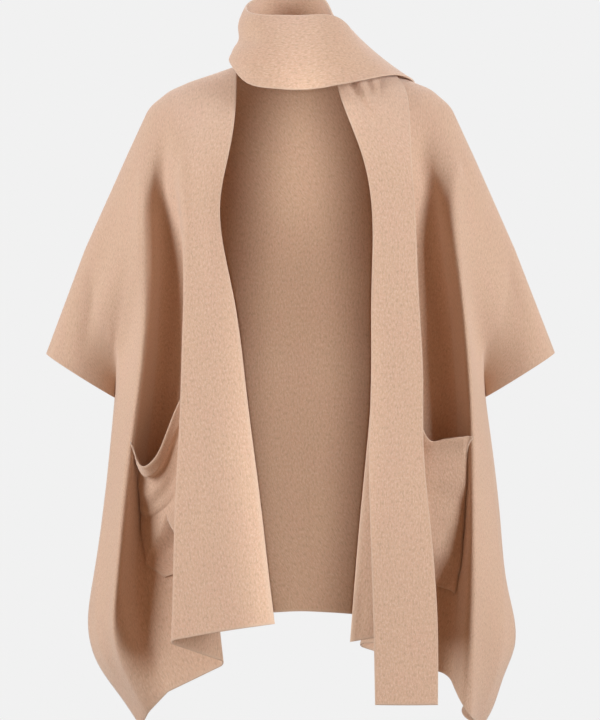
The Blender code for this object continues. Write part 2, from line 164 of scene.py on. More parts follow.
class PocketCut(NamedTuple):
    """A patch on a front: its two seams as (fold number, run) from the top, and its mouth.

    Sag is how far the mouth hangs below a straight line between its corners, in
    millimetres at even shares across. Fullness is how far the cloth is drawn out
    of the fold to that line, and gape is how far the mouth stands off it.
    """

    outer: tuple[Spot, ...]
    inner: tuple[Spot, ...]
    sag: tuple[float, ...]
    fullness: float
    gape: float


class Station(NamedTuple):
    """One row of the scarf: its two edges and how far its middle bows out."""

    inner: Place
    outer: Place
    bow: float


# Bend radii in metres at the shoulder and from the middle of the run to the hem
FRONT_RADII = {
    "band": (0.30, 0.30),
    "fold": (0.05, 0.008),
    "tuck": (0.05, 0.010),
    "trough": (0.05, 0.020),
    "ridge": (0.05, 0.024),
    "sleeve": (0.09, 0.020),
}
BACK_RADII = {
    "neck": (0.004, 0.20),
    "blade": (0.30, 0.10),
    "wave": (0.05, 0.08),
    "flank": (0.05, 0.08),
    "trough": (0.05, 0.06),
    "ridge": (0.07, 0.05),
    "sleeve": (0.09, 0.020),
}

# The fronts and the outer edges that they share with the back
FRONT_RIGHT = (
    FrontSection(0.00, (237, 67, 0), (214, 75, 0), (190, 83, 0), (170, 92, 0), (150, 108, 0),
                 (128, 156, 0), (86, 250, 0)),
    FrontSection(0.08, (236, 102, 65), (212, 108, 70), (192, 116, 72), (174, 122, 68), (160, 134, 59),
                 (138, 172, 64), (91, 272, 36)),
    FrontSection(0.16, (229, 153, 105), (206, 158, 112), (184, 164, 111), (174, 172, 90), (161, 185, 64),
                 (142, 222, 95), (100, 318, 48)),
    FrontSection(0.24, (220, 206, 120), (204, 212, 128), (181, 220, 122), (182, 229, 82), (163, 243, 48),
                 (146, 282, 106), (118, 350, 44)),
    FrontSection(0.36, (233, 294, 130), (210, 300, 140), (182, 306, 130), (192, 312, 70), (161, 325, 36),
                 (141, 372, 106), (114, 428, 40)),
    FrontSection(0.50, (247, 396, 135), (216, 400, 148), (178, 404, 138), (203, 410, 70), (153, 420, 36),
                 (128, 470, 99), (102, 526, 32)),
    FrontSection(0.65, (261, 507, 138), (220, 512, 154), (171, 517, 144), (214, 528, 70), (139, 550, 34),
                 (117, 584, 90), (99, 640, 30)),
    FrontSection(0.745, (269, 576, 139), (222, 584, 155), (168, 591, 145), (221, 604, 72), (146, 638, 38),
                 (121, 652, 74), (122, 684, 24)),
    FrontSection(0.81, (275, 624, 140), (224, 631, 156), (165, 642, 145), (228, 663, 80), (168, 692, 44),
                 (149, 712, 28), (144, 721, 10)),
)
SIDE_RIGHT = Side(
    cuff_top=(47, 354),
    cuff_bottom=(115.5, 398),
    seam=((110, 455), (102, 526), (93, 584), (89, 628), (97, 660), (121, 696), (141, 726)),
)

FRONT_LEFT = (
    FrontSection(0.00, (363, 67, 0), (386, 75, 0), (410, 82, 0), (430, 90, 0), (450, 107, 0),
                 (472, 155, 0), (514, 250, 0)),
    FrontSection(0.08, (365, 102, 65), (386, 108, 70), (402, 115, 71), (412, 121, 65), (428, 133, 57),
                 (460, 170, 63), (508, 272, 36)),
    FrontSection(0.16, (371, 153, 105), (390, 158, 112), (404, 163, 109), (407, 171, 86), (428, 183, 58),
                 (455, 220, 94), (499, 318, 48)),
    FrontSection(0.24, (377, 206, 120), (393, 212, 126), (408, 220, 117), (404, 229, 78), (438, 242, 50),
                 (461, 281, 105), (482, 350, 44)),
    FrontSection(0.36, (375, 294, 130), (394, 300, 136), (413, 306, 125), (402, 312, 72), (449, 325, 40),
                 (469, 372, 104), (486, 428, 40)),
    FrontSection(0.50, (371, 396, 135), (396, 400, 142), (420, 404, 131), (392, 410, 72), (455, 418, 38),
                 (472, 470, 98), (497, 526, 32)),
    FrontSection(0.65, (361, 507, 138), (394, 512, 148), (426, 518, 137), (376, 524, 72), (457, 548, 34),
                 (470, 580, 92), (503, 640, 32)),
    FrontSection(0.81, (350, 642, 142), (392, 635, 150), (432, 640, 141), (352, 644, 84), (449, 675, 24),
                 (467, 714, 66), (476, 722, 16)),
)
SIDE_LEFT = Side(
    cuff_top=(554, 353),
    cuff_bottom=(484.5, 397.5),
    seam=((492, 452), (500, 526), (507, 588), (514, 645), (503, 676), (489, 714), (480, 728)),
)

# The wearer's right half of the back; the left is its mirror image
BACK_HALF = (
    BackSection(0.00, (300, 64, -52), (237, 67, 0), (214, 75, 0), (190, 83, 0), (170, 92, 0), (150, 108, 0),
                (128, 156, 0), (86, 250, 0)),
    BackSection(0.08, (300, 94, -88), (240, 98, -64), (213, 106, -62), (192, 114, -64), (172, 122, -62),
                (153, 138, -60), (131, 176, -60), (91, 272, -36)),
    BackSection(0.16, (300, 148, -112), (242, 150, -104), (211, 156, -106), (191, 162, -104),
                (172, 172, -94), (156, 190, -88), (127, 228, -92), (100, 318, -48)),
    BackSection(0.24, (300, 204, -122), (243, 206, -120), (209, 210, -128), (188, 218, -120),
                (172, 230, -104), (157, 245, -92), (121, 288, -104), (118, 352, -44)),
    BackSection(0.36, (300, 288, -130), (243, 290, -132), (208, 292, -146), (187, 298, -132),
                (170, 310, -106), (154, 326, -92), (117, 372, -108), (114, 430, -42)),
    BackSection(0.50, (300, 386, -136), (243, 388, -140), (206, 390, -160), (186, 396, -138),
                (168, 408, -104), (150, 424, -90), (114, 466, -110), (104, 528, -38)),
    BackSection(0.65, (300, 492, -142), (243, 494, -146), (205, 498, -170), (184, 506, -142),
                (165, 520, -102), (146, 540, -86), (113, 572, -106), (101, 636, -32)),
    BackSection(0.81, (300, 611, -148), (243, 614, -150), (204, 620, -176), (180, 632, -142),
                (162, 650, -100), (146, 664, -82), (124, 680, -90), (140, 714, -20)),
)

# The pockets' seams on the fronts, from the mouth down
POCKET_RIGHT = PocketCut(
    outer=((5.10, 0.457), (4.60, 0.502), (4.52, 0.542), (4.45, 0.575), (4.35, 0.605), (4.00, 0.636),
           (3.68, 0.662), (3.55, 0.689)),
    inner=((2.50, 0.472), (2.50, 0.547), (2.50, 0.622), (2.50, 0.695)),
    sag=(0, 37, 54, 57, 52, 36, 19, 6, 0),
    fullness=1.0,
    gape=0.006,
)
POCKET_LEFT = PocketCut(
    outer=((5.15, 0.446), (4.70, 0.488), (4.62, 0.530), (4.58, 0.565), (4.55, 0.597), (4.50, 0.630),
           (4.42, 0.665), (4.15, 0.700)),
    inner=((2.50, 0.500), (2.50, 0.550), (2.50, 0.602), (2.50, 0.655), (2.50, 0.708)),
    sag=(0, 5, 11, 18, 25, 33, 27, 4, 0),
    fullness=1.0,
    gape=0.004,
)

# The scarf from its front end, over the shoulder, round the neck and down the back
SCARF_FRONT_END = (
    Station((375, 705, 164), (438, 705, 162), 0.003),
    Station((373, 610, 162), (437, 606, 160), 0.004),
    Station((370, 518, 158), (429, 512, 156), 0.005),
    Station((369, 450, 152), (423.5, 446, 150), 0.005),
    Station((371, 380, 146), (423, 378, 145), 0.004),
    Station((371.4, 290, 141), (418.5, 290, 139), 0.003),
    Station((372, 213, 133), (415, 209, 130), 0.002),
    Station((364, 162, 120), (411.5, 158, 120), 0.002),
    Station((347, 115, 100), (409.5, 115, 86), 0.004),
    Station((337, 85, 80), (404, 87, 47), 0.006),
    Station((333, 50, 46), (387, 68, 4), -0.004),
)
SCARF_BACK_NECK = (
    Station((332, 18, 4), (374, 62, -30), -0.006),
    Station((322, -3, -40), (348, 66, -50), 0.0),
    Station((296, -8, -66), (298, 69, -64), 0.004),
    Station((266, -5, -50), (252, 64, -50), 0.004),
    Station((250, 2, -12), (234, 60, -14), 0.004),
)
SCARF_NECK_WRAP = (
    Station((247, 9, 34), (233, 66, 38), 0.006),
    Station((257, 14, 74), (249, 84, 84), 0.008),
    Station((280, 15, 94), (277, 89, 110), 0.010),
    Station((305, 15, 100), (303, 90, 118), 0.010),
    Station((330, 15, 86), (334, 86, 110), 0.008),
    Station((344, 22, 58), (364, 80, 88), 0.004),
    Station((350, 29, 22), (396, 75, 44), -0.003),
)
SCARF_BACK_END = (
    Station((354, 34, -16), (412, 80.0, -2), -0.003),
    Station((359, 50, -58), (416, 90.5, -50), 0.0),
    Station((363, 78, -88), (418, 116, -78), 0.004),
    Station((366, 126, -112), (420, 154, -111), 0.004),
    Station((368, 205, -134), (421, 218, -134), 0.003),
    Station((369, 290, -152), (421, 298, -150), 0.003),
    Station((370, 392, -166), (421, 396, -164), 0.003),
)

# Creases of the fronts, the back and the scarf
CREASES_RIGHT = (
    Crease(((242, 535), (249, 594), (252, 626)), 3.0, 5.0, (0.8, 0.0), (0.0, 2.0)),
    Crease(((214, 92), (222, 130), (226, 176)), -1.2, 9.0, (0.4, 0.5), (0.0, 2.5)),
    Crease(((139, 152), (130, 213), (121, 290), (115, 345), (109, 376)), 2.6, 5.0, (0.25, 0.35), (4.6, 6.8)),
    Crease(((132, 152), (123, 213), (114, 290), (108, 345)), -1.2, 6.0, (0.3, 0.5), (4.6, 6.9)),
    Crease(((104, 250), (92, 300), (84, 352)), 2.0, 9.0, (0.5, 0.2), (5.0, 7.0)),
    Crease(((104, 420), (98, 500), (95, 590)), 1.8, 9.0, (0.4, 0.4), (5.2, 7.0)),
    Crease(((196, 380), (204, 470), (206, 560)), 1.6, 14.0, (0.5, 0.5), (0.0, 2.0)),
)
CREASES_LEFT = (
    Crease(((456, 136), (463, 164), (469, 206), (473, 262), (477, 300)), 2.4, 5.0, (0.25, 0.45), (4.6, 6.8)),
    Crease(((463, 136), (470, 164), (476, 206), (480, 262)), -1.2, 6.0, (0.3, 0.5), (4.6, 6.9)),
    Crease(((498, 200), (510, 262), (520, 330)), 1.8, 10.0, (0.5, 0.3), (5.0, 7.0)),
    Crease(((498, 430), (503, 520), (508, 600)), 1.8, 9.0, (0.4, 0.4), (5.2, 7.0)),
    Crease(((366, 560), (362, 600), (358, 640)), 2.0, 6.0, (0.6, 0.0), (0.0, 1.0)),
)
CREASES_BACK = (
    Crease(((262, 130), (256, 260), (250, 420)), 2.4, 14.0, (0.4, 0.5), (0.0, 16.0)),
    Crease(((338, 120), (346, 240), (352, 380), (350, 500)), 2.0, 13.0, (0.4, 0.4), (0.0, 16.0)),
    Crease(((300, 300), (296, 430), (300, 600)), 2.2, 16.0, (0.5, 0.1), (0.0, 16.0)),
    Crease(((136, 200), (118, 270), (104, 340)), 2.0, 10.0, (0.5, 0.3), (0.0, 3.0)),
    Crease(((464, 190), (484, 260), (500, 340)), 2.2, 10.0, (0.5, 0.3), (13.0, 16.0)),
    Crease(((170, 110), (150, 180), (130, 250)), -1.6, 12.0, (0.4, 0.5), (0.0, 6.0)),
    Crease(((430, 112), (452, 176), (474, 262)), -1.6, 12.0, (0.4, 0.5), (10.0, 16.0)),
    Crease(((108, 430), (102, 520), (98, 610)), 1.8, 9.0, (0.4, 0.4), (0.0, 3.0)),
    Crease(((490, 440), (499, 530), (506, 600)), 1.8, 9.0, (0.4, 0.4), (13.0, 16.0)),
)
CREASES_STRIP = (
    Crease(((350, 83), (354, 91), (361, 100), (368, 110), (373, 124), (380, 138)), 3.0, 6.0,
           (0.0, 0.5), (0.0, 0.0)),
    Crease(((358, 80), (362, 92), (370, 104), (378, 118)), -1.8, 5.0, (0.0, 0.5), (0.0, 0.0)),
    Crease(((366, 78), (371, 90), (379, 104)), 2.4, 5.0, (0.0, 0.6), (0.0, 0.0)),
    Crease(((379, 78), (381, 92), (386, 112)), 2.2, 6.0, (0.0, 0.6), (0.0, 0.0)),
    Crease(((399, 84), (402, 130), (404, 190)), -1.2, 9.0, (0.2, 0.6), (0.0, 0.0)),
    Crease(((392, 300), (396, 420), (399, 560)), 1.0, 14.0, (0.4, 0.4), (0.0, 0.0)),
)
CREASES_NECK = (
    Crease(((230, 38), (244, 38), (256, 37), (270, 35)), 8.0, 15.0, (0.0, 0.6), (0.0, 0.0)),
    Crease(((230, 60), (246, 66), (262, 73), (280, 78)), -2.4, 9.0, (0.0, 0.6), (0.0, 0.0)),
)
CREASES_WRAP = CREASES_NECK + (
    Crease(((300, 62), (326, 66), (352, 70), (384, 74)), 1.6, 9.0, (0.5, 0.2), (0.0, 0.0)),
    Crease(((330, 40), (350, 54), (374, 66)), 1.4, 9.0, (0.4, 0.3), (0.0, 0.0)),
)


def unit(vectors: np.ndarray) -> np.ndarray:
    """Scale vectors to length one."""
    lengths = np.linalg.norm(vectors, axis=-1, keepdims=True)
    return vectors / np.maximum(lengths, SHORTEST_LENGTH)


def spline(knots: Sequence, points: Sequence, at: Sequence, start: Optional[np.ndarray] = None) -> np.ndarray:
    """Smooth cubic curve through points at knots.

    The slopes at the knots solve the equations of equal curvature on both sides,
    with no curvature at a free end, and Hermite cubics join the points.

    Args:
        knots: Rising parameters of the points.
        points: One point for each knot.
        at: Parameters to work the curve out at.
        start: The first slope, where it is fixed.

    Returns:
        One point for each parameter.
    """
    knots = np.asarray(knots, dtype=float)
    points = np.asarray(points, dtype=float)
    count = len(knots)
    gaps = np.diff(knots)
    slopes = np.diff(points, axis=0) / gaps[:, None]
    matrix = np.zeros((count, count))
    right = np.zeros((count, 3))
    inner = np.arange(1, count - 1)
    matrix[inner, inner - 1] = gaps[1:]
    matrix[inner, inner] = 2.0 * (gaps[:-1] + gaps[1:])
    matrix[inner, inner + 1] = gaps[:-1]
    right[inner] = 3.0 * (gaps[1:, None] * slopes[:-1] + gaps[:-1, None] * slopes[1:])
    matrix[0, :2] = (2.0, 1.0) if start is None else (1.0, 0.0)
    right[0] = 3.0 * slopes[0] if start is None else start
    matrix[-1, -2:] = (1.0, 2.0)
    right[-1] = 3.0 * slopes[-1]
    tangents = np.linalg.solve(matrix, right)
    at = np.clip(np.asarray(at, dtype=float), knots[0], knots[-1])
    cell = np.clip(np.searchsorted(knots, at, side="right") - 1, 0, count - 2)
    gap = gaps[cell][:, None]
    part = ((at - knots[cell]) / gaps[cell])[:, None]
    return (
        (2.0 * part**3 - 3.0 * part**2 + 1.0) * points[cell]
        + (part**3 - 2.0 * part**2 + part) * gap * tangents[cell]
        + (3.0 * part**2 - 2.0 * part**3) * points[cell + 1]
        + (part**3 - part**2) * gap * tangents[cell + 1]
    )


def sheet_normals(grid: np.ndarray) -> np.ndarray:
    """Unit normals of a sheet: its steps across, crossed with its steps along."""
    return unit(np.cross(np.gradient(grid, axis=1), np.gradient(grid, axis=0)))


def soft_step(share: np.ndarray) -> np.ndarray:
    """Smooth rise from 0 to 1: 3 s squared less 2 s cubed, held at both ends."""
    share = np.clip(share, 0.0, 1.0)
    return share * share * (3.0 - 2.0 * share)


def swells(uv: np.ndarray, height: float, length: float, seed: int) -> np.ndarray:
    """Low swells of a hanging cloth: a sum of seeded sine waves in random directions.

    Args:
        uv: Places on the flat cloth, in metres.
        height: Typical height of the swells, in metres.
        length: Middle wave length, in metres.
        seed: Seed of the waves.

    Returns:
        Height at each place, in metres.
    """
    maker = np.random.default_rng(seed)
    count = 9
    shortest, longest = 0.6, 1.7
    down_stretch = 0.55
    angle = maker.uniform(0.0, np.pi, count)
    size = length * maker.uniform(shortest, longest, count)
    phase = maker.uniform(0.0, 2.0 * np.pi, count)
    waves = 2.0 * np.pi * np.stack([np.cos(angle), down_stretch * np.sin(angle)]) / size
    return height * np.sin(uv @ waves + phase).sum(axis=-1) / np.sqrt(count)


def crease_relief(seen: np.ndarray, fold: np.ndarray, creases: Sequence[Crease]) -> np.ndarray:
    """How far creases press the cloth in, in metres.

    Each is a bell curve of the distance to its line, dying away toward its ends
    and within a quarter of a fold past the folds it lies on.

    Args:
        seen: Columns and rows of the photograph of each point.
        fold: Fold number of each point.
        creases: The creases.

    Returns:
        Depth at each point.
    """
    depth = np.zeros(seen.shape[:-1])
    shortest_fade = 1e-3
    fold_steps = 4.0
    for crease in creases:
        line = np.asarray(crease.line, dtype=float)
        step = np.diff(line, axis=0)
        length = np.linalg.norm(step, axis=1)
        offset = seen[..., None, :] - line[:-1]
        along = np.clip(np.sum(offset * step, axis=-1) / length**2, 0.0, 1.0)
        gap = np.linalg.norm(offset - along[..., None] * step, axis=-1)
        nearest = np.argmin(gap, axis=-1)[..., None]
        distance = np.take_along_axis(gap, nearest, axis=-1)[..., 0]
        travelled = np.cumsum(length) - length + along * length
        travelled = np.take_along_axis(travelled, nearest, axis=-1)[..., 0] / length.sum()
        rise = soft_step(travelled / max(crease.fade[0], shortest_fade))
        fall = soft_step((1.0 - travelled) / max(crease.fade[1], shortest_fade))
        bell = np.exp(-((distance * PHOTO.metres_per_pixel * MILLIMETRES / crease.width) ** 2))
        inside = soft_step((fold - crease.folds[0]) * fold_steps + 1.0)
        inside = inside * soft_step((crease.folds[1] - fold) * fold_steps + 1.0)
        depth += crease.depth / MILLIMETRES * bell * rise * fall * inside
    return depth


class Rim(Enum):
    """How an edge of the cloth ends; the value is the roundness of its wall."""

    FREE = 1.0
    SEAM = 0.5
    JOIN = 0.0


class Rims(NamedTuple):
    """The four edges of a sheet."""

    top: Rim
    right: Rim
    bottom: Rim
    left: Rim


@dataclass
class Sheet:
    """A smooth sheet on a grid, with its normals and its places on the flat cloth."""

    grid: np.ndarray
    normals: np.ndarray
    uv: np.ndarray
    marks: Sequence[float] = ()
    runs: Optional[np.ndarray] = None

    def at_fold(self, values: np.ndarray, fold: np.ndarray, run: np.ndarray) -> np.ndarray:
        """Values of the sheet at a fold number and a run, between its columns and rows.

        Args:
            values: Points or normals on the grid.
            fold: Fold numbers.
            run: Runs in metres.

        Returns:
            The values there, by linear shares of the four nearest.
        """
        column = np.interp(fold, np.arange(len(self.marks)), self.marks)
        row = np.interp(run, self.runs, np.arange(len(self.runs)))
        left = np.clip(np.floor(column).astype(int), 0, values.shape[1] - 2)
        top = np.clip(np.floor(row).astype(int), 0, values.shape[0] - 2)
        right_share = (column - left)[..., None]
        low_share = (row - top)[..., None]
        upper = values[top, left] * (1.0 - right_share) + values[top, left + 1] * right_share
        lower = values[top + 1, left] * (1.0 - right_share) + values[top + 1, left + 1] * right_share
        return upper * (1.0 - low_share) + lower * low_share

    def area(self) -> float:
        """Area of the sheet: half the length of each cell's crossed diagonals.

        Returns:
            The area in square metres.
        """
        first = self.grid[1:, 1:] - self.grid[:-1, :-1]
        second = self.grid[1:, :-1] - self.grid[:-1, 1:]
        return float(0.5 * np.linalg.norm(np.cross(first, second), axis=-1).sum())


@dataclass
class Wall:
    """Closes a sheet into cloth of real thickness with rounded free edges."""

    name: str
    thickness: float
    rims: Rims
    rim_steps: int = 5
    join_angle: float = 60.0

    def build(self, sheet: Sheet) -> bpy.types.Object:
        """Make the wall's mesh.

        The two skins are the sheet moved half a thickness each way. Around the
        edge the rim is half an ellipse: the middle plus the normal times the
        cosine and the outward direction times the sine.

        Args:
            sheet: The middle of the cloth.

        Returns:
            The new object.
        """
        grid = sheet.grid.copy()
        normals = sheet.normals
        rows, columns = grid.shape[:2]
        ring, outward, roundness, flat_out = self.border(sheet)
        half = 0.5 * self.thickness
        inset = half * roundness[:, None] * outward
        grid[ring[:, 0], ring[:, 1]] -= inset
        count = rows * columns
        middle = grid[ring[:, 0], ring[:, 1]]
        ring_normals = normals[ring[:, 0], ring[:, 1]]
        angle = np.pi * np.arange(1, self.rim_steps)[:, None, None] / self.rim_steps
        rim = middle + half * (np.cos(angle) * ring_normals + np.sin(angle) * roundness[:, None] * outward)
        points = np.concatenate([
            (grid + half * normals).reshape(-1, 3),
            (grid - half * normals).reshape(-1, 3),
            rim.reshape(-1, 3),
        ])
        index = np.arange(count).reshape(rows, columns)
        skin = np.stack([index[:-1, :-1], index[:-1, 1:], index[1:, 1:], index[1:, :-1]], axis=-1)
        skin = skin.reshape(-1, 4)
        around = len(ring)
        outer_ring = index[ring[:, 0], ring[:, 1]]
        loops = np.concatenate([
            outer_ring[None],
            2 * count + np.arange((self.rim_steps - 1) * around).reshape(-1, around),
            (outer_ring + count)[None],
        ])
        after = np.roll(loops, -1, axis=1)
        strips = np.stack([after[:-1], loops[:-1], loops[1:], after[1:]], axis=-1).reshape(-1, 4)
        quads = np.concatenate([skin, skin[:, ::-1] + count, strips])
        flat = sheet.uv.reshape(-1, 2)
        arc = np.pi * half * np.arange(self.rim_steps + 1)[:, None, None] / self.rim_steps
        ring_uv = flat[outer_ring] + arc * flat_out
        after_uv = np.roll(ring_uv, -1, axis=1)
        strip_uv = np.stack([after_uv[:-1], ring_uv[:-1], ring_uv[1:], after_uv[1:]], axis=2)
        places = np.concatenate([
            flat[skin].reshape(-1, 2),
            flat[skin[:, ::-1]].reshape(-1, 2),
            strip_uv.reshape(-1, 2),
        ])
        # The edge attribute marks the free edges, where the material paints a highlight.
        edge = np.zeros(len(points))
        free = (roundness >= Rim.FREE.value).astype(float)
        edge[outer_ring] = free
        edge[outer_ring + count] = free
        edge[2 * count:] = np.tile(free, self.rim_steps - 1)
        return self.mesh(points, quads, places, edge)

    def border(self, sheet: Sheet) -> tuple[np.ndarray, np.ndarray, np.ndarray, np.ndarray]:
        """Border points in order, with their outward directions and roundness.

        Args:
            sheet: The sheet.

        Returns:
            Grid places, outward directions in space, roundness, and outward
            directions on the flat cloth.
        """
        rows, columns = sheet.grid.shape[:2]
        across = np.arange(columns)
        down = np.arange(rows)
        ring = np.concatenate([
            np.stack([np.zeros(columns - 1), across[:-1]], axis=-1),
            np.stack([down[:-1], np.full(rows - 1, columns - 1)], axis=-1),
            np.stack([np.full(columns - 1, rows - 1), across[:0:-1]], axis=-1),
            np.stack([down[:0:-1], np.zeros(rows - 1)], axis=-1),
        ]).astype(int)
        sides = np.repeat(np.arange(4), [columns - 1, rows - 1, columns - 1, rows - 1])
        flat_side = np.array([(0.0, -1.0), (1.0, 0.0), (0.0, 1.0), (-1.0, 0.0)])
        values = np.array([rim.value for rim in self.rims])
        before = np.roll(sides, 1)
        roundness = np.minimum(values[sides], values[before])
        flat_out = flat_side[sides]
        here = sheet.grid[ring[:, 0], ring[:, 1]]
        along = np.roll(here, -1, axis=0) - np.roll(here, 1, axis=0)
        outward = unit(np.cross(along, sheet.normals[ring[:, 0], ring[:, 1]]))
        inner = np.clip(ring, 1, [rows - 2, columns - 2])
        away = here - sheet.grid[inner[:, 0], inner[:, 1]]
        flip = np.sign(np.sum(outward * away, axis=-1, keepdims=True))
        return ring, outward * flip, roundness, flat_out

    def mesh(self, points: np.ndarray, quads: np.ndarray, places: np.ndarray,
             edge: np.ndarray) -> bpy.types.Object:
        """Put points, quads, a UV map and the edge attribute into a new object.

        Args:
            points: Points in metres.
            quads: Corners of each face.
            places: UV place of each corner, in metres of cloth.
            edge: One on a free edge and zero elsewhere, for each point; the material paints a highlight
                there.

        Returns:
            The new object, with its faces pointing out.
        """
        corners = points[quads]
        swept = np.cross(corners[:, 2] - corners[:, 0], corners[:, 3] - corners[:, 1])
        volume = np.sum(corners.mean(axis=1) * swept)
        if volume < 0.0:
            quads = quads[:, ::-1]
            places = places.reshape(-1, 4, 2)[:, ::-1].reshape(-1, 2)
        mesh = bpy.data.meshes.new(self.name)
        mesh.vertices.add(len(points))
        mesh.vertices.foreach_set("co", points.astype(np.float32).ravel())
        mesh.loops.add(quads.size)
        mesh.loops.foreach_set("vertex_index", quads.astype(np.int32).ravel())
        mesh.polygons.add(len(quads))
        mesh.polygons.foreach_set("loop_start", np.arange(0, quads.size, 4, dtype=np.int32))
        layer = mesh.uv_layers.new(name="cloth")
        layer.data.foreach_set("uv", places.astype(np.float32).ravel())
        mark = mesh.attributes.new("edge", "FLOAT", "POINT")
        mark.data.foreach_set("value", edge.astype(np.float32))
        mesh.update(calc_edges=True)
        mesh.validate()
        mesh.shade_smooth()
        if Rim.JOIN in self.rims:
            mesh.set_sharp_from_angle(angle=np.radians(self.join_angle))
        piece = bpy.data.objects.new(self.name, mesh)
        bpy.context.scene.collection.objects.link(piece)
        return piece


@dataclass(frozen=True)
class HangingPanel:
    """Sizes that the fronts and the back share."""

    cuff_run: float = 0.24
    hem_run: float = 0.81
    cuff_bow: float = 0.046
    cuff_lean: float = 0.5
    thickness: float = 0.0024
    corner_steps: int = 12
    span_steps: int = 4
    cuff_rows: int = 56
    seam_rows: int = 130
    bend_limit: float = 0.46
    widest_cosine: float = 0.9999
    shoulder_share: float = 0.5
    fade_run: float = 0.05

    def runs(self) -> np.ndarray:
        """Runs of the rows; one row lies on the end of the cuff.

        Returns:
            Runs in metres from the shoulder down.
        """
        cuff = np.linspace(0.0, self.cuff_run, self.cuff_rows + 1)
        seam = np.linspace(self.cuff_run, self.hem_run, self.seam_rows + 1)
        return np.concatenate([cuff, seam[1:]])

    def side_path(self, side: Side, facing: float) -> np.ndarray:
        """Outer edge of a panel: half an oval round the cuff, then the side seam.

        Args:
            side: The cuff's ends and the seam.
            facing: +1 for a front and -1 for the back.

        Returns:
            One point for each run.
        """
        runs = self.runs()
        top = PHOTO.placed((*side.cuff_top, 0.0))
        bottom = PHOTO.placed((*side.cuff_bottom, 0.0))
        seam = np.array([bottom] + [PHOTO.placed((*spot, 0.0)) for spot in side.seam])
        knots = np.concatenate([[0.0], np.cumsum(np.linalg.norm(np.diff(seam, axis=0), axis=1))])
        share = np.clip((runs - self.cuff_run) / (self.hem_run - self.cuff_run), 0.0, 1.0)
        path = spline(knots, seam, share * knots[-1])
        angle = np.pi * np.clip(runs / self.cuff_run, 0.0, 1.0)
        oval = top + (0.5 - 0.5 * np.cos(angle))[:, None] * (bottom - top)
        oval[:, 1] = -facing * self.cuff_bow * np.sin(angle) * (1.0 - self.cuff_lean * angle / np.pi)
        return np.where((runs < self.cuff_run)[:, None], oval, path)

    def key_paths(self, sections: Sequence, names: Sequence[str], facing: float) -> np.ndarray:
        """Path of each fold down the panel, level where it leaves the shoulder.

        Args:
            sections: Rows of the panel's table.
            names: Names of the folds.
            facing: +1 for a front and -1 for the back.

        Returns:
            Points, runs by folds by 3.
        """
        knots = [section.run for section in sections]
        start = np.array([0.0, -facing, 0.0])
        paths = []
        for name in names:
            points = PHOTO.placed([getattr(section, name) for section in sections])
            paths.append(spline(knots, points, self.runs(), start))
        return np.stack(paths, axis=1)

    def key_radii(self, names: Sequence[str], table: dict[str, Spot]) -> np.ndarray:
        """Bend radius of each fold at each run.

        It goes evenly from the shoulder's to the hem's over shoulder_share of the run.

        Args:
            names: Names of the folds.
            table: The two radii by name; a fold that isn't in it stays sharp.

        Returns:
            Radii in metres, runs by folds.
        """
        share = np.clip(self.runs() / (self.shoulder_share * self.hem_run), 0.0, 1.0)
        columns = []
        for name in names:
            top, hem = table.get(name, (0.0, 0.0))
            columns.append(top + (hem - top) * share)
        return np.stack(columns, axis=1)

    def rounded(self, keys: np.ndarray, radii: np.ndarray) -> tuple[np.ndarray, list[float]]:
        """Join key points by straight spans with a round bend at each inner key.

        A bend is the rational quadratic curve with the corner's weight equal to
        the sine of half its angle, which is an arc of a circle.

        Args:
            keys: Key points, rows by keys by 3.
            radii: Bend radii, rows by keys.

        Returns:
            The points and the column on which each key falls.
        """
        columns = [keys[:, 0]]
        marks = [0.0]
        last = keys.shape[1] - 1
        leave = keys[:, 0]
        for key in range(1, last):
            corner = keys[:, key]
            back = keys[:, key - 1] - corner
            ahead = keys[:, key + 1] - corner
            cosine = np.sum(unit(back) * unit(ahead), axis=1)
            half = 0.5 * np.arccos(np.clip(cosine, -self.widest_cosine, self.widest_cosine))
            reach = radii[:, key] / np.tan(half)
            back_reach = np.minimum(reach, self.bend_limit * np.linalg.norm(back, axis=1))[:, None]
            ahead_reach = np.minimum(reach, self.bend_limit * np.linalg.norm(ahead, axis=1))[:, None]
            enter = corner + unit(back) * back_reach
            leaving = corner + unit(ahead) * ahead_reach
            for step in range(1, self.span_steps + 1):
                columns.append(leave + (enter - leave) * step / self.span_steps)
            weight = np.sin(half)[:, None]
            for step in range(1, self.corner_steps + 1):
                part = step / self.corner_steps
                first = (1.0 - part) ** 2
                middle = 2.0 * part * (1.0 - part) * weight
                end = part**2
                columns.append((first * enter + middle * corner + end * leaving) / (first + middle + end))
            marks.append(len(columns) - 1 - self.corner_steps / 2.0)
            leave = leaving
        for step in range(1, self.span_steps + 1):
            columns.append(leave + (keys[:, last] - leave) * step / self.span_steps)
        marks.append(len(columns) - 1.0)
        return np.stack(columns, axis=1), marks

    def flat_places(self, grid: np.ndarray) -> np.ndarray:
        """Place of each point on the flat cloth: metres along its row, and its run.

        Args:
            grid: The sheet's points.

        Returns:
            Places in metres.
        """
        steps = np.linalg.norm(np.diff(grid, axis=1), axis=-1)
        across = np.concatenate([np.zeros((len(grid), 1)), np.cumsum(steps, axis=1)], axis=1)
        down = np.broadcast_to(self.runs()[:, None], across.shape)
        return np.stack([across, down], axis=-1)

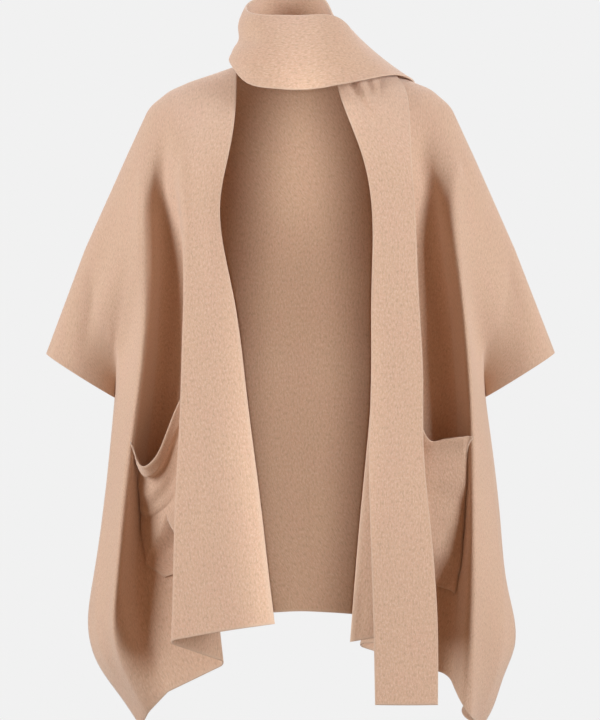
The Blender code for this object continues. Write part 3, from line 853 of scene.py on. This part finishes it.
    def settled(self, grid: np.ndarray, facing: float, hand: float, relief: np.ndarray,
                on_crest: np.ndarray, seam_columns: Sequence[int]) -> tuple[np.ndarray, np.ndarray]:
        """Press the relief into a sheet and level its normals at the seams.

        The relief fades out within fade_run of a seam, so that the seams stay closed.

        Args:
            grid: The smooth sheet.
            facing: +1 for a front and -1 for the back.
            hand: +1 where the sheet's normals already point out.
            relief: How far to move each point along its normal.
            on_crest: Which columns start on the shoulder seam.
            seam_columns: The columns that are side seams.

        Returns:
            The new sheet and its normals.
        """
        runs = self.runs()
        oval = np.sin(np.pi * np.clip(runs / self.cuff_run, 0.0, 1.0))
        fade = np.ones(grid.shape[:2])
        fade[:, on_crest] *= soft_step(runs / self.fade_run)[:, None]
        for column in seam_columns:
            away = np.linalg.norm(grid - grid[:, [column]], axis=-1)
            seam = (runs >= self.cuff_run)[:, None]
            fade *= np.where(seam, soft_step(away / self.fade_run), 1.0)
        moved = grid + sheet_normals(grid) * hand * (relief * fade)[..., None]
        if facing > 0.0:
            moved[..., 1] = np.minimum(moved[..., 1], 0.0)
        else:
            moved[..., 1] = np.maximum(moved[..., 1], 0.0)
        normals = sheet_normals(moved) * hand
        normals[0, on_crest, 1] = 0.0
        for column in seam_columns:
            normals[:, column, 1] *= oval
        return moved, unit(normals)


@dataclass(frozen=True)
class FrontPanel(HangingPanel):
    """One front, from the opening edge to the cuff."""

    name: str = "front"
    sections: tuple[FrontSection, ...] = FRONT_RIGHT
    side: Side = SIDE_RIGHT
    creases: tuple[Crease, ...] = ()
    hand: float = 1.0
    swell: float = 0.0007
    swell_length: float = 0.13
    seed: int = 1

    def sheet(self) -> Sheet:
        """The front's middle sheet: folds from its table, then creases and swells.

        Returns:
            The sheet, with the column of each fold and the run of each row.
        """
        names = FrontSection._fields[1:]
        keys = self.key_paths(self.sections, names, 1.0)
        keys = np.concatenate([keys, self.side_path(self.side, 1.0)[:, None]], axis=1)
        grid, marks = self.rounded(keys, self.key_radii(names + ("side",), FRONT_RADII))
        uv = self.flat_places(grid)
        fold = np.interp(np.arange(grid.shape[1]), marks, np.arange(len(marks)))
        fold = np.broadcast_to(fold, grid.shape[:2])
        relief = swells(uv, self.swell, self.swell_length, self.seed)
        relief -= crease_relief(PHOTO.seen(grid), fold, self.creases)
        crest = np.ones(grid.shape[1], dtype=bool)
        grid, normals = self.settled(grid, 1.0, self.hand, relief, crest, (-1,))
        return Sheet(grid, normals, uv, marks, self.runs())

    def wall(self) -> Wall:
        """The front's wall: seams at the shoulder and the side, free elsewhere."""
        return Wall(self.name, self.thickness, Rims(Rim.SEAM, Rim.SEAM, Rim.FREE, Rim.FREE))


@dataclass(frozen=True)
class BackPanel(HangingPanel):
    """The whole back, from the wearer's right side to the left."""

    name: str = "back"
    half: tuple[BackSection, ...] = BACK_HALF
    creases: tuple[Crease, ...] = CREASES_BACK
    swell: float = 0.0008
    swell_length: float = 0.15
    seed: int = 5
    corner_steps: int = 9
    span_steps: int = 3

    def sheet(self) -> Sheet:
        """The back's middle sheet: one half's table and its mirror image.

        Returns:
            The sheet, with the column of each fold and the run of each row.
        """
        names = BackSection._fields[1:]
        other = [
            BackSection(section.run, *[PHOTO.mirrored(place) for place in section[1:]])
            for section in self.half
        ]
        right_keys = self.key_paths(self.half, names, -1.0)
        left_keys = self.key_paths(other, names, -1.0)
        right_side = self.side_path(SIDE_RIGHT, -1.0)[:, None]
        left_side = self.side_path(SIDE_LEFT, -1.0)[:, None]
        keys = np.concatenate([right_side, right_keys[:, :0:-1], left_keys, left_side], axis=1)
        order = ("side",) + names[:0:-1] + names + ("side",)
        radii = self.key_radii(order, BACK_RADII)
        radii[:, len(names)] = BACK_RADII["blade"][0]
        grid, marks = self.rounded(keys, radii)
        uv = self.flat_places(grid)
        columns = np.arange(grid.shape[1])
        fold = np.broadcast_to(np.interp(columns, marks, np.arange(len(marks))), grid.shape[:2])
        relief = swells(uv, self.swell, self.swell_length, self.seed)
        relief -= crease_relief(PHOTO.seen(grid), fold, self.creases)
        crest = (columns <= marks[len(names) - 1]) | (columns >= marks[len(names) + 1])
        grid, normals = self.settled(grid, -1.0, 1.0, relief, crest, (0, -1))
        return Sheet(grid, normals, uv, marks, self.runs())

    def wall(self) -> Wall:
        """The back's wall: seams at the shoulders and sides, free at the hem."""
        return Wall(self.name, self.thickness, Rims(Rim.SEAM, Rim.SEAM, Rim.FREE, Rim.SEAM))


@dataclass(frozen=True)
class PatchPocket:
    """A patch made from the front's own points, moved out, full and open at its top."""

    name: str
    cut: PocketCut
    thickness: float = 0.0022
    lift: float = 0.0032
    take_up: float = 0.006
    full_power: float = 8.0
    mouth_power: float = 1.6
    across_steps: int = 72
    down_steps: int = 72

    def seam_line(self, places: Sequence[Spot], down: np.ndarray) -> np.ndarray:
        """Fold numbers and runs down one seam."""
        points = [(fold, run, 0.0) for fold, run in places]
        return spline(np.linspace(0.0, 1.0, len(places)), points, down)[:, :2]

    def sheet(self, front: Sheet) -> Sheet:
        """The patch's middle sheet.

        Between the seams it follows the front, moved out by its lift. Toward the
        top it is drawn out to the straight line between the seams, and the mouth
        gapes by a sine across and sags by its table, both dying away below it.

        Args:
            front: The sheet it is sewn to.

        Returns:
            The patch's sheet.
        """
        across = np.linspace(0.0, 1.0, self.across_steps + 1)[None, :]
        down = np.linspace(0.0, 1.0, self.down_steps + 1)
        outer = self.seam_line(self.cut.outer, down)
        inner = self.seam_line(self.cut.inner, down)
        down = down[:, None]
        fold = outer[:, :1] + (inner[:, :1] - outer[:, :1]) * across
        run = outer[:, 1:] + (inner[:, 1:] - outer[:, 1:]) * across
        out = unit(front.at_fold(front.normals, fold, run))
        base = front.at_fold(front.grid, fold, run) + out * self.lift
        bridge = base[:, :1] + (base[:, -1:] - base[:, :1]) * across[..., None]
        shift = bridge - base
        share = np.clip(-shift[..., 1] / self.take_up, 0.0, 1.0)
        share *= self.cut.fullness * (1.0 - down**self.full_power)
        shift *= share[..., None]
        knots = np.linspace(0.0, 1.0, len(self.cut.sag))
        sag = spline(knots, [(value / MILLIMETRES, 0.0, 0.0) for value in self.cut.sag], across[0])[:, 0]
        near_mouth = (1.0 - down) ** self.mouth_power
        patch = base + shift
        patch[..., 1] -= self.cut.gape * np.sin(np.pi * across) * near_mouth
        patch[..., 2] -= sag * near_mouth
        steps = np.linalg.norm(np.diff(patch, axis=1), axis=-1)
        flat_across = np.concatenate([np.zeros((len(patch), 1)), np.cumsum(steps, axis=1)], axis=1)
        return Sheet(patch, sheet_normals(patch), np.stack([flat_across, run], axis=-1))

    def wall(self) -> Wall:
        """The patch's wall, with its own soft edges on all sides."""
        return Wall(self.name, self.thickness, Rims(Rim.FREE, Rim.FREE, Rim.FREE, Rim.FREE))


class Stretch(NamedTuple):
    """One stretch of the scarf: its name, CAD node, stations, end rims and creases."""

    name: str
    node: str
    stations: tuple[Station, ...]
    first: Rim
    last: Rim
    creases: tuple[Crease, ...] = ()


@dataclass(frozen=True)
class Scarf:
    """The long scarf, cut from one band, from its front end round the neck to its back end."""

    stretches: tuple[Stretch, ...]
    thickness: float = 0.003
    across_steps: int = 40
    step: float = 0.004
    fewest_rows: int = 12
    probe: float = 0.004

    def band(self, stations: Sequence[Station], knots: np.ndarray,
             at: np.ndarray) -> tuple[np.ndarray, np.ndarray]:
        """Flat sections at runs along the scarf, and how far each point bows out.

        Args:
            stations: Every station in order.
            knots: Run of each station.
            at: Runs of the sections.

        Returns:
            Points between the two edge splines, and the bow, 4 s (1 - s) times its height.
        """
        inner = PHOTO.placed([station.inner for station in stations])
        outer = PHOTO.placed([station.outer for station in stations])
        bows = np.array([[station.bow, 0.0, 0.0] for station in stations])
        share = np.linspace(0.0, 1.0, self.across_steps + 1)[None, :, None]
        flat = spline(knots, inner, at)[:, None] * (1.0 - share) + spline(knots, outer, at)[:, None] * share
        return flat, spline(knots, bows, at)[:, None, :1] * 4.0 * share * (1.0 - share)

    def normals(self, stations: Sequence[Station], knots: np.ndarray, at: np.ndarray) -> np.ndarray:
        """Unit normals of the flat sections, from the sections just before and after.

        Args:
            stations: Every station in order.
            knots: Run of each station.
            at: Runs of the sections.

        Returns:
            One normal for each point: its step across, crossed with its step along.
        """
        here = self.band(stations, knots, at)[0]
        before = self.band(stations, knots, at - self.probe)[0]
        after = self.band(stations, knots, at + self.probe)[0]
        return unit(np.cross(np.gradient(here, axis=1), after - before))

    def sheets(self) -> list[Sheet]:
        """The middle sheet of each stretch, cut one after another from the band.

        Two stretches part halfway between their last and first stations.

        Returns:
            One sheet for each stretch, with its creases pressed in.
        """
        whole = [station for stretch in self.stretches for station in stretch.stations]
        inner = PHOTO.placed([station.inner for station in whole])
        outer = PHOTO.placed([station.outer for station in whole])
        middle = 0.5 * (inner + outer)
        knots = np.concatenate([[0.0], np.cumsum(np.linalg.norm(np.diff(middle, axis=0), axis=1))])
        sheets = []
        begin = knots[0]
        used = 0
        for stretch in self.stretches:
            used += len(stretch.stations)
            finish = knots[-1] if used == len(whole) else 0.5 * (knots[used - 1] + knots[used])
            count = max(int((finish - begin) / self.step), self.fewest_rows)
            at = np.linspace(begin, finish, count + 1)
            flat, bow = self.band(whole, knots, at)
            out = self.normals(whole, knots, at)
            grid = flat + out * bow
            relief = crease_relief(PHOTO.seen(grid), np.zeros(grid.shape[:2]), stretch.creases)
            grid = grid - out * relief[..., None]
            width = np.linalg.norm(grid[:, -1:] - grid[:, :1], axis=-1)
            share = np.linspace(0.0, 1.0, self.across_steps + 1)[None, :]
            uv = np.stack([width * share, np.broadcast_to(at[:, None], (len(at), share.size))], axis=-1)
            normals = unit(np.where(relief[..., None] != 0.0, sheet_normals(grid), out))
            sheets.append(Sheet(grid, normals, uv))
            begin = finish
        return sheets

    def walls(self) -> list[Wall]:
        """One wall for each stretch.

        Returns:
            The walls in the order of the stretches.
        """
        return [
            Wall(stretch.name, self.thickness, Rims(stretch.first, Rim.FREE, stretch.last, Rim.FREE))
            for stretch in self.stretches
        ]


NODE_SPACING = 200.0


class Net:
    """A node tree under construction, with short ways to add and join nodes."""

    def __init__(self, tree: bpy.types.NodeTree) -> None:
        """Start on a tree."""
        self.tree = tree
        self.column = 0

    def add(self, kind: str, **settings: object) -> bpy.types.Node:
        """Add a node to the right of the last one.

        Args:
            kind: The node's type.
            settings: Properties to set on it.

        Returns:
            The node.
        """
        node = self.tree.nodes.new(kind)
        self.column += 1
        node.location = (NODE_SPACING * self.column, 0.0)
        for key, value in settings.items():
            setattr(node, key, value)
        return node

    def join(self, source: object, target: object) -> None:
        """Link a socket to a socket, or set the target's value to a number.

        Args:
            source: A socket or a value.
            target: The socket that takes it.
        """
        if isinstance(source, bpy.types.NodeSocket):
            self.tree.links.new(source, target)
        else:
            target.default_value = source

    def maths(self, operation: str, first: object, second: object = 0.0,
              third: object = 0.0) -> bpy.types.NodeSocket:
        """Work out one sum.

        Args:
            operation: The math node's operation.
            first: First socket or number.
            second: Second socket or number.
            third: Third socket or number.

        Returns:
            The result's socket.
        """
        node = self.add("ShaderNodeMath", operation=operation)
        for socket, value in zip(node.inputs, (first, second, third)):
            self.join(value, socket)
        return node.outputs[0]

    def scaled(self, vector: object, by: Place) -> bpy.types.NodeSocket:
        """Multiply a vector by a constant, part by part.

        Args:
            vector: The vector's socket.
            by: The three factors.

        Returns:
            The product's socket.
        """
        node = self.add("ShaderNodeVectorMath", operation="MULTIPLY")
        self.join(vector, node.inputs[0])
        node.inputs[1].default_value = by
        return node.outputs[0]

    def noise(self, vector: object, scale: object, detail: float, rough: float) -> bpy.types.NodeSocket:
        """Smooth noise on a plane.

        Args:
            vector: Place on the plane.
            scale: Waves a unit.
            detail: Octaves.
            rough: Share that each finer octave keeps.

        Returns:
            The noise's socket, about 0 to 1.
        """
        node = self.add("ShaderNodeTexNoise", noise_dimensions="2D")
        self.join(vector, node.inputs["Vector"])
        self.join(scale, node.inputs["Scale"])
        node.inputs["Detail"].default_value = detail
        node.inputs["Roughness"].default_value = rough
        return node.outputs["Fac"]

    def spread(self, value: object, low: float, high: float, to_low: float,
               to_high: float) -> bpy.types.NodeSocket:
        """Stretch a value from one range to another, held at its ends.

        Args:
            value: The value's socket.
            low: Start of its range.
            high: End of its range.
            to_low: Result at the start.
            to_high: Result at the end.

        Returns:
            The result's socket.
        """
        node = self.add("ShaderNodeMapRange")
        self.join(value, node.inputs["Value"])
        for name, number in zip(("From Min", "From Max", "To Min", "To Max"), (low, high, to_low, to_high)):
            node.inputs[name].default_value = number
        return node.outputs["Result"]

    def mixed(self, share: object, first: object, second: object, blend: str = "MIX") -> bpy.types.NodeSocket:
        """Blend two colours.

        Args:
            share: Share of the second colour.
            first: First colour.
            second: Second colour.
            blend: How they blend.

        Returns:
            The result's socket.
        """
        node = self.add("ShaderNodeMix", data_type="RGBA", blend_type=blend)
        self.join(share, node.inputs["Factor"])
        self.join(first, node.inputs["A"])
        self.join(second, node.inputs["B"])
        return [socket for socket in node.outputs if socket.type == "RGBA"][0]


def new_group(name: str, inputs: Sequence[tuple[str, str]],
              outputs: Sequence[tuple[str, str]]) -> bpy.types.NodeTree:
    """Make an empty shader node group with named sockets.

    Args:
        name: The group's name.
        inputs: Name and socket type of each input.
        outputs: Name and socket type of each output.

    Returns:
        The group.
    """
    group = bpy.data.node_groups.new(name, "ShaderNodeTree")
    for label, kind in inputs:
        group.interface.new_socket(label, in_out="INPUT", socket_type=kind)
    for label, kind in outputs:
        group.interface.new_socket(label, in_out="OUTPUT", socket_type=kind)
    return group


def heather_group() -> bpy.types.NodeTree:
    """Heathered yarn: light and dark flecks, streaks down the wales and broad warm patches.

    Each layer is noise whose upper range is stretched to its share and blended
    over the last. Noise scales are waves a metre of cloth.

    Returns:
        The group.
    """
    long_fleck, dark_fleck, streak_scale = (1.0, 0.42, 1.0), (-1.0, 0.5, 1.0), (430.0, 16.0, 1.0)
    dark_coarseness = 0.62
    patch_scale = 22.0
    colour, vector, number = "NodeSocketColor", "NodeSocketVector", "NodeSocketFloat"
    group = new_group(
        "heathered_yarn",
        (("Cloth", vector), ("Base", colour), ("Light Fleck", colour), ("Dark Fleck", colour),
         ("Warm", colour), ("Fleck Scale", number), ("Fleck Share", number)),
        (("Color", colour),),
    )
    net = Net(group)
    given = net.add("NodeGroupInput").outputs
    light = net.noise(net.scaled(given["Cloth"], long_fleck), given["Fleck Scale"], 3.0, 0.65)
    light = net.maths("MULTIPLY", net.spread(light, 0.46, 0.72, 0.0, 1.0), given["Fleck Share"])
    dark_scale = net.maths("MULTIPLY", given["Fleck Scale"], dark_coarseness)
    dark = net.noise(net.scaled(given["Cloth"], dark_fleck), dark_scale, 3.0, 0.6)
    dark = net.maths("MULTIPLY", net.spread(dark, 0.50, 0.76, 0.0, 1.0), given["Fleck Share"])
    warm = net.spread(net.noise(given["Cloth"], patch_scale, 2.0, 0.55), 0.38, 0.66, 0.0, 0.6)
    streak = net.noise(net.scaled(given["Cloth"], streak_scale), 1.0, 1.0, 0.5)
    streak = net.spread(streak, 0.3, 0.7, 0.985, 1.015)
    tone = net.mixed(warm, given["Base"], given["Warm"])
    tone = net.mixed(light, tone, given["Light Fleck"])
    tone = net.mixed(dark, tone, given["Dark Fleck"])
    grey = net.add("ShaderNodeCombineColor")
    for socket in grey.inputs:
        net.join(streak, socket)
    tone = net.mixed(1.0, tone, grey.outputs[0], "MULTIPLY")
    net.join(tone, net.add("NodeGroupOutput").inputs["Color"])
    return group


def felt_group() -> bpy.types.NodeTree:
    """Felted stitches: rows of soft V shapes half buried in fine nap.

    A wale is the sine of the place across it, and a course the sine of the place
    down it, slanted both ways from the wale's middle. Noise scales are waves a
    metre of cloth.

    Returns:
        The group.
    """
    wander_scale, nap_scale, clump_scale = 140.0, 1500.0, 330.0
    slope, course_share = 1.6, 0.35
    vector, number = "NodeSocketVector", "NodeSocketFloat"
    group = new_group(
        "felted_stitches",
        (("Cloth", vector), ("Wale", number), ("Course", number), ("Stitch", number), ("Nap", number)),
        (("Height", number),),
    )
    net = Net(group)
    given = net.add("NodeGroupInput").outputs
    parts = net.add("ShaderNodeSeparateXYZ")
    net.join(given["Cloth"], parts.inputs[0])
    wander = net.spread(net.noise(given["Cloth"], wander_scale, 1.0, 0.5), 0.2, 0.8, -0.4, 0.4)
    wale = net.maths("ADD", net.maths("DIVIDE", parts.outputs["X"], given["Wale"]), wander)
    leg = net.maths("ABSOLUTE", net.maths("SUBTRACT", net.maths("FRACT", wale), 0.5))
    course = net.maths("DIVIDE", parts.outputs["Y"], given["Course"])
    slant = net.maths("MULTIPLY_ADD", leg, slope, net.maths("ADD", course, wander))
    rows = net.maths("SINE", net.maths("MULTIPLY", slant, 2.0 * np.pi))
    bulge = net.maths("SINE", net.maths("MULTIPLY", leg, 2.0 * np.pi))
    stitch = net.maths("MULTIPLY", bulge, net.maths("MULTIPLY_ADD", rows, course_share, 1.0 - course_share))
    nap = net.noise(given["Cloth"], nap_scale, 4.0, 0.7)
    clump = net.noise(net.scaled(given["Cloth"], (1.0, 0.6, 1.0)), clump_scale, 2.0, 0.6)
    fuzz = net.maths("MULTIPLY", net.maths("ADD", nap, clump), given["Nap"])
    height = net.maths("MULTIPLY_ADD", stitch, given["Stitch"], fuzz)
    net.join(height, net.add("NodeGroupOutput").inputs["Height"])
    return group


@dataclass(frozen=True)
class FeltedKnit:
    """Soft felted camel knit: colours, a painted edge highlight, fleck size, stitch size and sheen."""

    name: str
    base: Colour = (0.66, 0.422, 0.277)
    light_fleck: Colour = (0.78, 0.57, 0.43)
    dark_fleck: Colour = (0.51, 0.315, 0.195)
    warm: Colour = (0.67, 0.412, 0.280)
    # Painted highlight: free edges are mixed toward this lighter colour, by the share on the next line, to
    # stand in for light catching the rims.
    edge: Colour = (0.72, 0.53, 0.39)
    edge_share: float = 0.6
    fleck_scale: float = 560.0
    fleck_share: float = 0.8
    wale: float = 0.0021
    course: float = 0.0028
    stitch: float = 0.22
    nap: float = 0.75
    relief: float = 0.0004
    roughness: float = 0.92
    specular: float = 0.5
    sheen: float = 0.55
    sheen_roughness: float = 0.7
    sheen_tint: Colour = (1.0, 0.95, 0.92)

    def material(self, heather: bpy.types.NodeTree, felt: bpy.types.NodeTree) -> bpy.types.Material:
        """Build the material, with a painted highlight that lightens the free edges.

        Args:
            heather: Group that gives the yarn's colour.
            felt: Group that gives the stitches' height.

        Returns:
            The material.
        """
        material = bpy.data.materials.new(self.name)
        material.use_nodes = True
        net = Net(material.node_tree)
        shader = material.node_tree.nodes["Principled BSDF"]
        shader.inputs["Roughness"].default_value = self.roughness
        shader.inputs["Specular IOR Level"].default_value = self.specular
        shader.inputs["Sheen Weight"].default_value = self.sheen
        shader.inputs["Sheen Roughness"].default_value = self.sheen_roughness
        shader.inputs["Sheen Tint"].default_value = (*self.sheen_tint, 1.0)
        cloth = net.add("ShaderNodeUVMap", uv_map="cloth").outputs["UV"]
        yarn = net.add("ShaderNodeGroup", node_tree=heather)
        net.join(cloth, yarn.inputs["Cloth"])
        for label, value in (("Base", self.base), ("Light Fleck", self.light_fleck),
                             ("Dark Fleck", self.dark_fleck), ("Warm", self.warm)):
            yarn.inputs[label].default_value = (*value, 1.0)
        yarn.inputs["Fleck Scale"].default_value = self.fleck_scale
        yarn.inputs["Fleck Share"].default_value = self.fleck_share
        # Painted highlight: where the edge attribute marks a free edge, the yarn colour is lightened toward
        # the edge colour.
        rim = net.add("ShaderNodeAttribute", attribute_name="edge")
        share = net.maths("MULTIPLY", rim.outputs["Fac"], self.edge_share)
        tone = net.mixed(share, yarn.outputs["Color"], (*self.edge, 1.0))
        net.join(tone, shader.inputs["Base Color"])
        stitches = net.add("ShaderNodeGroup", node_tree=felt)
        net.join(cloth, stitches.inputs["Cloth"])
        for label, value in (("Wale", self.wale), ("Course", self.course),
                             ("Stitch", self.stitch), ("Nap", self.nap)):
            stitches.inputs[label].default_value = value
        bump = net.add("ShaderNodeBump")
        bump.inputs["Strength"].default_value = 1.0
        bump.inputs["Distance"].default_value = self.relief
        net.join(stitches.outputs["Height"], bump.inputs["Height"])
        net.join(bump.outputs["Normal"], shader.inputs["Normal"])
        return material


@dataclass(frozen=True)
class SoftLight:
    """One large soft light: where it stands, its width and height, power and tint."""

    name: str
    place: Place
    size: Spot
    power: float
    tint: Colour = (1.0, 1.0, 1.0)

    def build(self, target: Place) -> None:
        """Add the light, turned to its target.

        Args:
            target: The point that it faces.
        """
        data = bpy.data.lights.new(self.name, "AREA")
        data.shape = "RECTANGLE"
        data.size, data.size_y = self.size
        data.energy = self.power
        data.color = self.tint
        light = bpy.data.objects.new(self.name, data)
        light.location = self.place
        ahead = Vector(target) - Vector(self.place)
        light.rotation_euler = ahead.to_track_quat("-Z", "Y").to_euler()
        bpy.context.scene.collection.objects.link(light)


@dataclass(frozen=True)
class Beam:
    """A narrow beam that reaches in through the front opening.

    It stands straight before the garment, at one height, and points at another.
    Half its height and width there over its distance are the tangents of its
    half angles, and its cone is narrowed across by their ratio.
    """

    name: str
    height: float
    aim: float
    half_height: float
    half_width: float
    power: float
    distance: float = 2.7
    blend: float = 0.5
    radius: float = 0.05
    tint: Colour = (0.94, 0.99, 1.0)

    def build(self) -> None:
        """Add the beam, turned up or down by the angle from its height to its aim."""
        data = bpy.data.lights.new(self.name, "SPOT")
        data.energy = self.power
        data.color = self.tint
        data.spot_size = 2.0 * np.arctan(self.half_height / self.distance)
        data.spot_blend = self.blend
        data.shadow_soft_size = self.radius
        light = bpy.data.objects.new(self.name, data)
        light.location = (0.0, -self.distance, self.height)
        rise = np.arctan((self.aim - self.height) / self.distance)
        light.rotation_euler = (np.pi / 2.0 + rise, 0.0, 0.0)
        light.scale = (self.half_width / self.half_height, 1.0, 1.0)
        bpy.context.scene.collection.objects.link(light)


@dataclass(frozen=True)
class Studio:
    """Camera, pale surroundings, soft lights and the beams into the opening."""

    lights: tuple[SoftLight, ...]
    beams: tuple[Beam, ...]
    target: Place = (0.0, 0.0, -0.42)
    sensor: float = 36.0
    floor: float = -1.5
    front: float = -6.0
    wall: float = 2.6
    rise: float = 6.0
    bend: float = 1.2
    bend_steps: int = 24
    width: float = 14.0
    backdrop: float = 0.88
    paper_tone: Colour = (0.26, 0.19, 0.13)
    ambient: float = 0.22
    ambient_tint: Colour = (1.0, 0.47, 0.22)

    def camera(self) -> None:
        """Stand the camera where the photograph was taken, level and square to the garment."""
        data = bpy.data.cameras.new("camera")
        data.sensor_width = self.sensor
        data.lens = self.sensor * PHOTO.distance / (PHOTO.rows * PHOTO.metres_per_pixel)
        camera = bpy.data.objects.new("camera", data)
        camera.location = (0.0, -PHOTO.distance, PHOTO.height)
        camera.rotation_euler = (np.pi / 2.0, 0.0, 0.0)
        bpy.context.scene.collection.objects.link(camera)
        bpy.context.scene.camera = camera

    def sweep(self) -> None:
        """Paper out of every view: floor, quarter circle and wall, carried straight across."""
        angle = np.linspace(0.0, np.pi / 2.0, self.bend_steps)
        depth = self.wall - self.bend + self.bend * np.sin(angle)
        depth = np.concatenate([[self.front], depth, [self.wall]])
        height = self.floor + self.bend * (1.0 - np.cos(angle))
        height = np.concatenate([[self.floor], height, [self.floor + self.rise]])
        across = np.array([-0.5, 0.5]) * self.width
        points = np.stack([
            np.broadcast_to(across[None, :], (len(depth), 2)),
            np.broadcast_to(depth[:, None], (len(depth), 2)),
            np.broadcast_to(height[:, None], (len(depth), 2)),
        ], axis=-1).reshape(-1, 3)
        index = np.arange(len(points)).reshape(-1, 2)
        quads = np.stack([index[:-1, 0], index[:-1, 1], index[1:, 1], index[1:, 0]], axis=-1)
        mesh = bpy.data.meshes.new("backdrop")
        mesh.from_pydata(points.tolist(), [], quads.tolist())
        mesh.shade_smooth()
        sweep = bpy.data.objects.new("backdrop", mesh)
        bpy.context.scene.collection.objects.link(sweep)
        sweep.visible_camera = False
        mesh.materials.append(self.paper())

    def paper(self) -> bpy.types.Material:
        """Plain dull paper that gives little light back.

        Returns:
            The material.
        """
        material = bpy.data.materials.new("backdrop_paper")
        material.use_nodes = True
        shader = material.node_tree.nodes["Principled BSDF"]
        shader.inputs["Base Color"].default_value = (*self.paper_tone, 1.0)
        shader.inputs["Roughness"].default_value = 1.0
        return material

    def surroundings(self) -> bpy.types.World:
        """Even pale ground for the camera, and a dim warm glow for the cloth.

        Returns:
            The world.
        """
        world = bpy.data.worlds.new("studio")
        world.use_nodes = True
        net = Net(world.node_tree)
        nodes = world.node_tree.nodes
        glow = nodes["Background"]
        glow.inputs["Color"].default_value = (*self.ambient_tint, 1.0)
        glow.inputs["Strength"].default_value = self.ambient
        ground = net.add("ShaderNodeBackground")
        ground.inputs["Color"].default_value = (self.backdrop, self.backdrop, self.backdrop, 1.0)
        mix = net.add("ShaderNodeMixShader")
        net.join(net.add("ShaderNodeLightPath").outputs["Is Camera Ray"], mix.inputs[0])
        net.join(glow.outputs[0], mix.inputs[1])
        net.join(ground.outputs[0], mix.inputs[2])
        net.join(mix.outputs[0], nodes["World Output"].inputs["Surface"])
        return world

    def build(self) -> None:
        """Set up the camera, the sweep, the lights and the dim world."""
        self.camera()
        self.sweep()
        for light in self.lights:
            light.build(self.target)
        for beam in self.beams:
            beam.build()
        bpy.context.scene.world = self.surroundings()
        bpy.context.scene.view_settings.view_transform = "Standard"


@dataclass
class Wardrobe:
    """Puts finished pieces on the part: material, body, node and flat size."""

    material: bpy.types.Material
    slot: str = "camel_knit"

    def wear(self, piece: bpy.types.Object, node: str, sheet: Sheet, flat: Spot) -> None:
        """Dress one piece, hide its CAD node and log its sizes.

        Args:
            piece: The piece.
            node: The CAD node it stands for.
            sheet: Its middle sheet.
            flat: Width and length that it was cut to, in metres.
        """
        piece.data.materials.append(self.material)
        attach(piece, "root")
        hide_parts(node)
        LOG.info("%s: %d faces, %.4f m2 on a cut of %.4f m2", piece.name, len(piece.data.polygons),
                 sheet.area(), flat[0] * flat[1])


# Width and length that each piece was cut to, in metres
FRONT_CUT = (0.54, 0.81)
BACK_CUT = (1.28, 0.81)
POCKET_CUT = (0.115, 0.23)
SCARF_WIDTH = 0.11

# Square metres left once the corners below the sleeves are cut away
FRONT_AREA = 0.35
BACK_AREA = 0.74

STUDIO = Studio(
    lights=(
        SoftLight("key_left", (-2.9, -1.6, 0.4), (1.3, 2.6), 118.0, (0.89, 0.955, 1.0)),
        SoftLight("key_right", (2.9, -1.6, 0.4), (1.3, 2.6), 118.0, (0.89, 0.955, 1.0)),
        SoftLight("top_back", (0.0, 1.6, 2.2), (2.4, 1.0), 30.0),
        SoftLight("back_fill", (0.0, 2.4, 0.3), (2.6, 1.8), 42.0, (0.94, 0.97, 1.0)),
    ),
    beams=(
        Beam("opening_beam", -0.46, -0.46, 0.54, 0.092, 168.0),
        Beam("neck_beam", -0.34, -0.125, 0.15, 0.08, 66.0, blend=1.0),
    ),
)


def main() -> None:
    """Build the garment piece by piece, then the studio."""
    logging.basicConfig(level=logging.INFO, format="%(name)s %(message)s", stream=sys.stdout, force=True)
    knit = FeltedKnit("felted_camel_knit")
    wardrobe = Wardrobe(knit.material(heather_group(), felt_group()))
    right = FrontPanel(name="right_front", sections=FRONT_RIGHT, side=SIDE_RIGHT, creases=CREASES_RIGHT,
                       hand=1.0, seed=11)
    left = FrontPanel(name="left_front", sections=FRONT_LEFT, side=SIDE_LEFT, creases=CREASES_LEFT,
                      hand=-1.0, seed=12)
    back = BackPanel()
    sheets = {}
    for panel, node, flat, area in ((right, "front_right", FRONT_CUT, FRONT_AREA),
                                    (left, "front_left", FRONT_CUT, FRONT_AREA),
                                    (back, "back_panel", BACK_CUT, BACK_AREA)):
        sheets[node] = panel.sheet()
        piece = panel.wall().build(sheets[node])
        wardrobe.wear(piece, node, sheets[node], flat)
    for pocket, node, front in ((PatchPocket("right_pocket", POCKET_RIGHT), "pocket_right", "front_right"),
                                (PatchPocket("left_pocket", POCKET_LEFT), "pocket_left", "front_left")):
        sheets[node] = pocket.sheet(sheets[front])
        piece = pocket.wall().build(sheets[node])
        wardrobe.wear(piece, node, sheets[node], POCKET_CUT)
    scarf = Scarf((
        Stretch("scarf_front", "scarf_front_end", SCARF_FRONT_END, Rim.FREE, Rim.JOIN, CREASES_STRIP),
        Stretch("scarf_behind_neck", "scarf_back_neck", SCARF_BACK_NECK, Rim.JOIN, Rim.JOIN, CREASES_NECK),
        Stretch("scarf_wrap", "scarf_neck_wrap", SCARF_NECK_WRAP, Rim.JOIN, Rim.JOIN, CREASES_WRAP),
        Stretch("scarf_back", "scarf_back_end", SCARF_BACK_END, Rim.JOIN, Rim.FREE),
    ))
    for stretch, sheet, wall in zip(scarf.stretches, scarf.sheets(), scarf.walls()):
        length = float(sheet.uv[-1, 0, 1] - sheet.uv[0, 0, 1])
        cut = (SCARF_WIDTH, round(length, 3))
        wardrobe.wear(wall.build(sheet), stretch.node, sheet, cut)
    STUDIO.build()


if __name__ == "__main__":
    main()
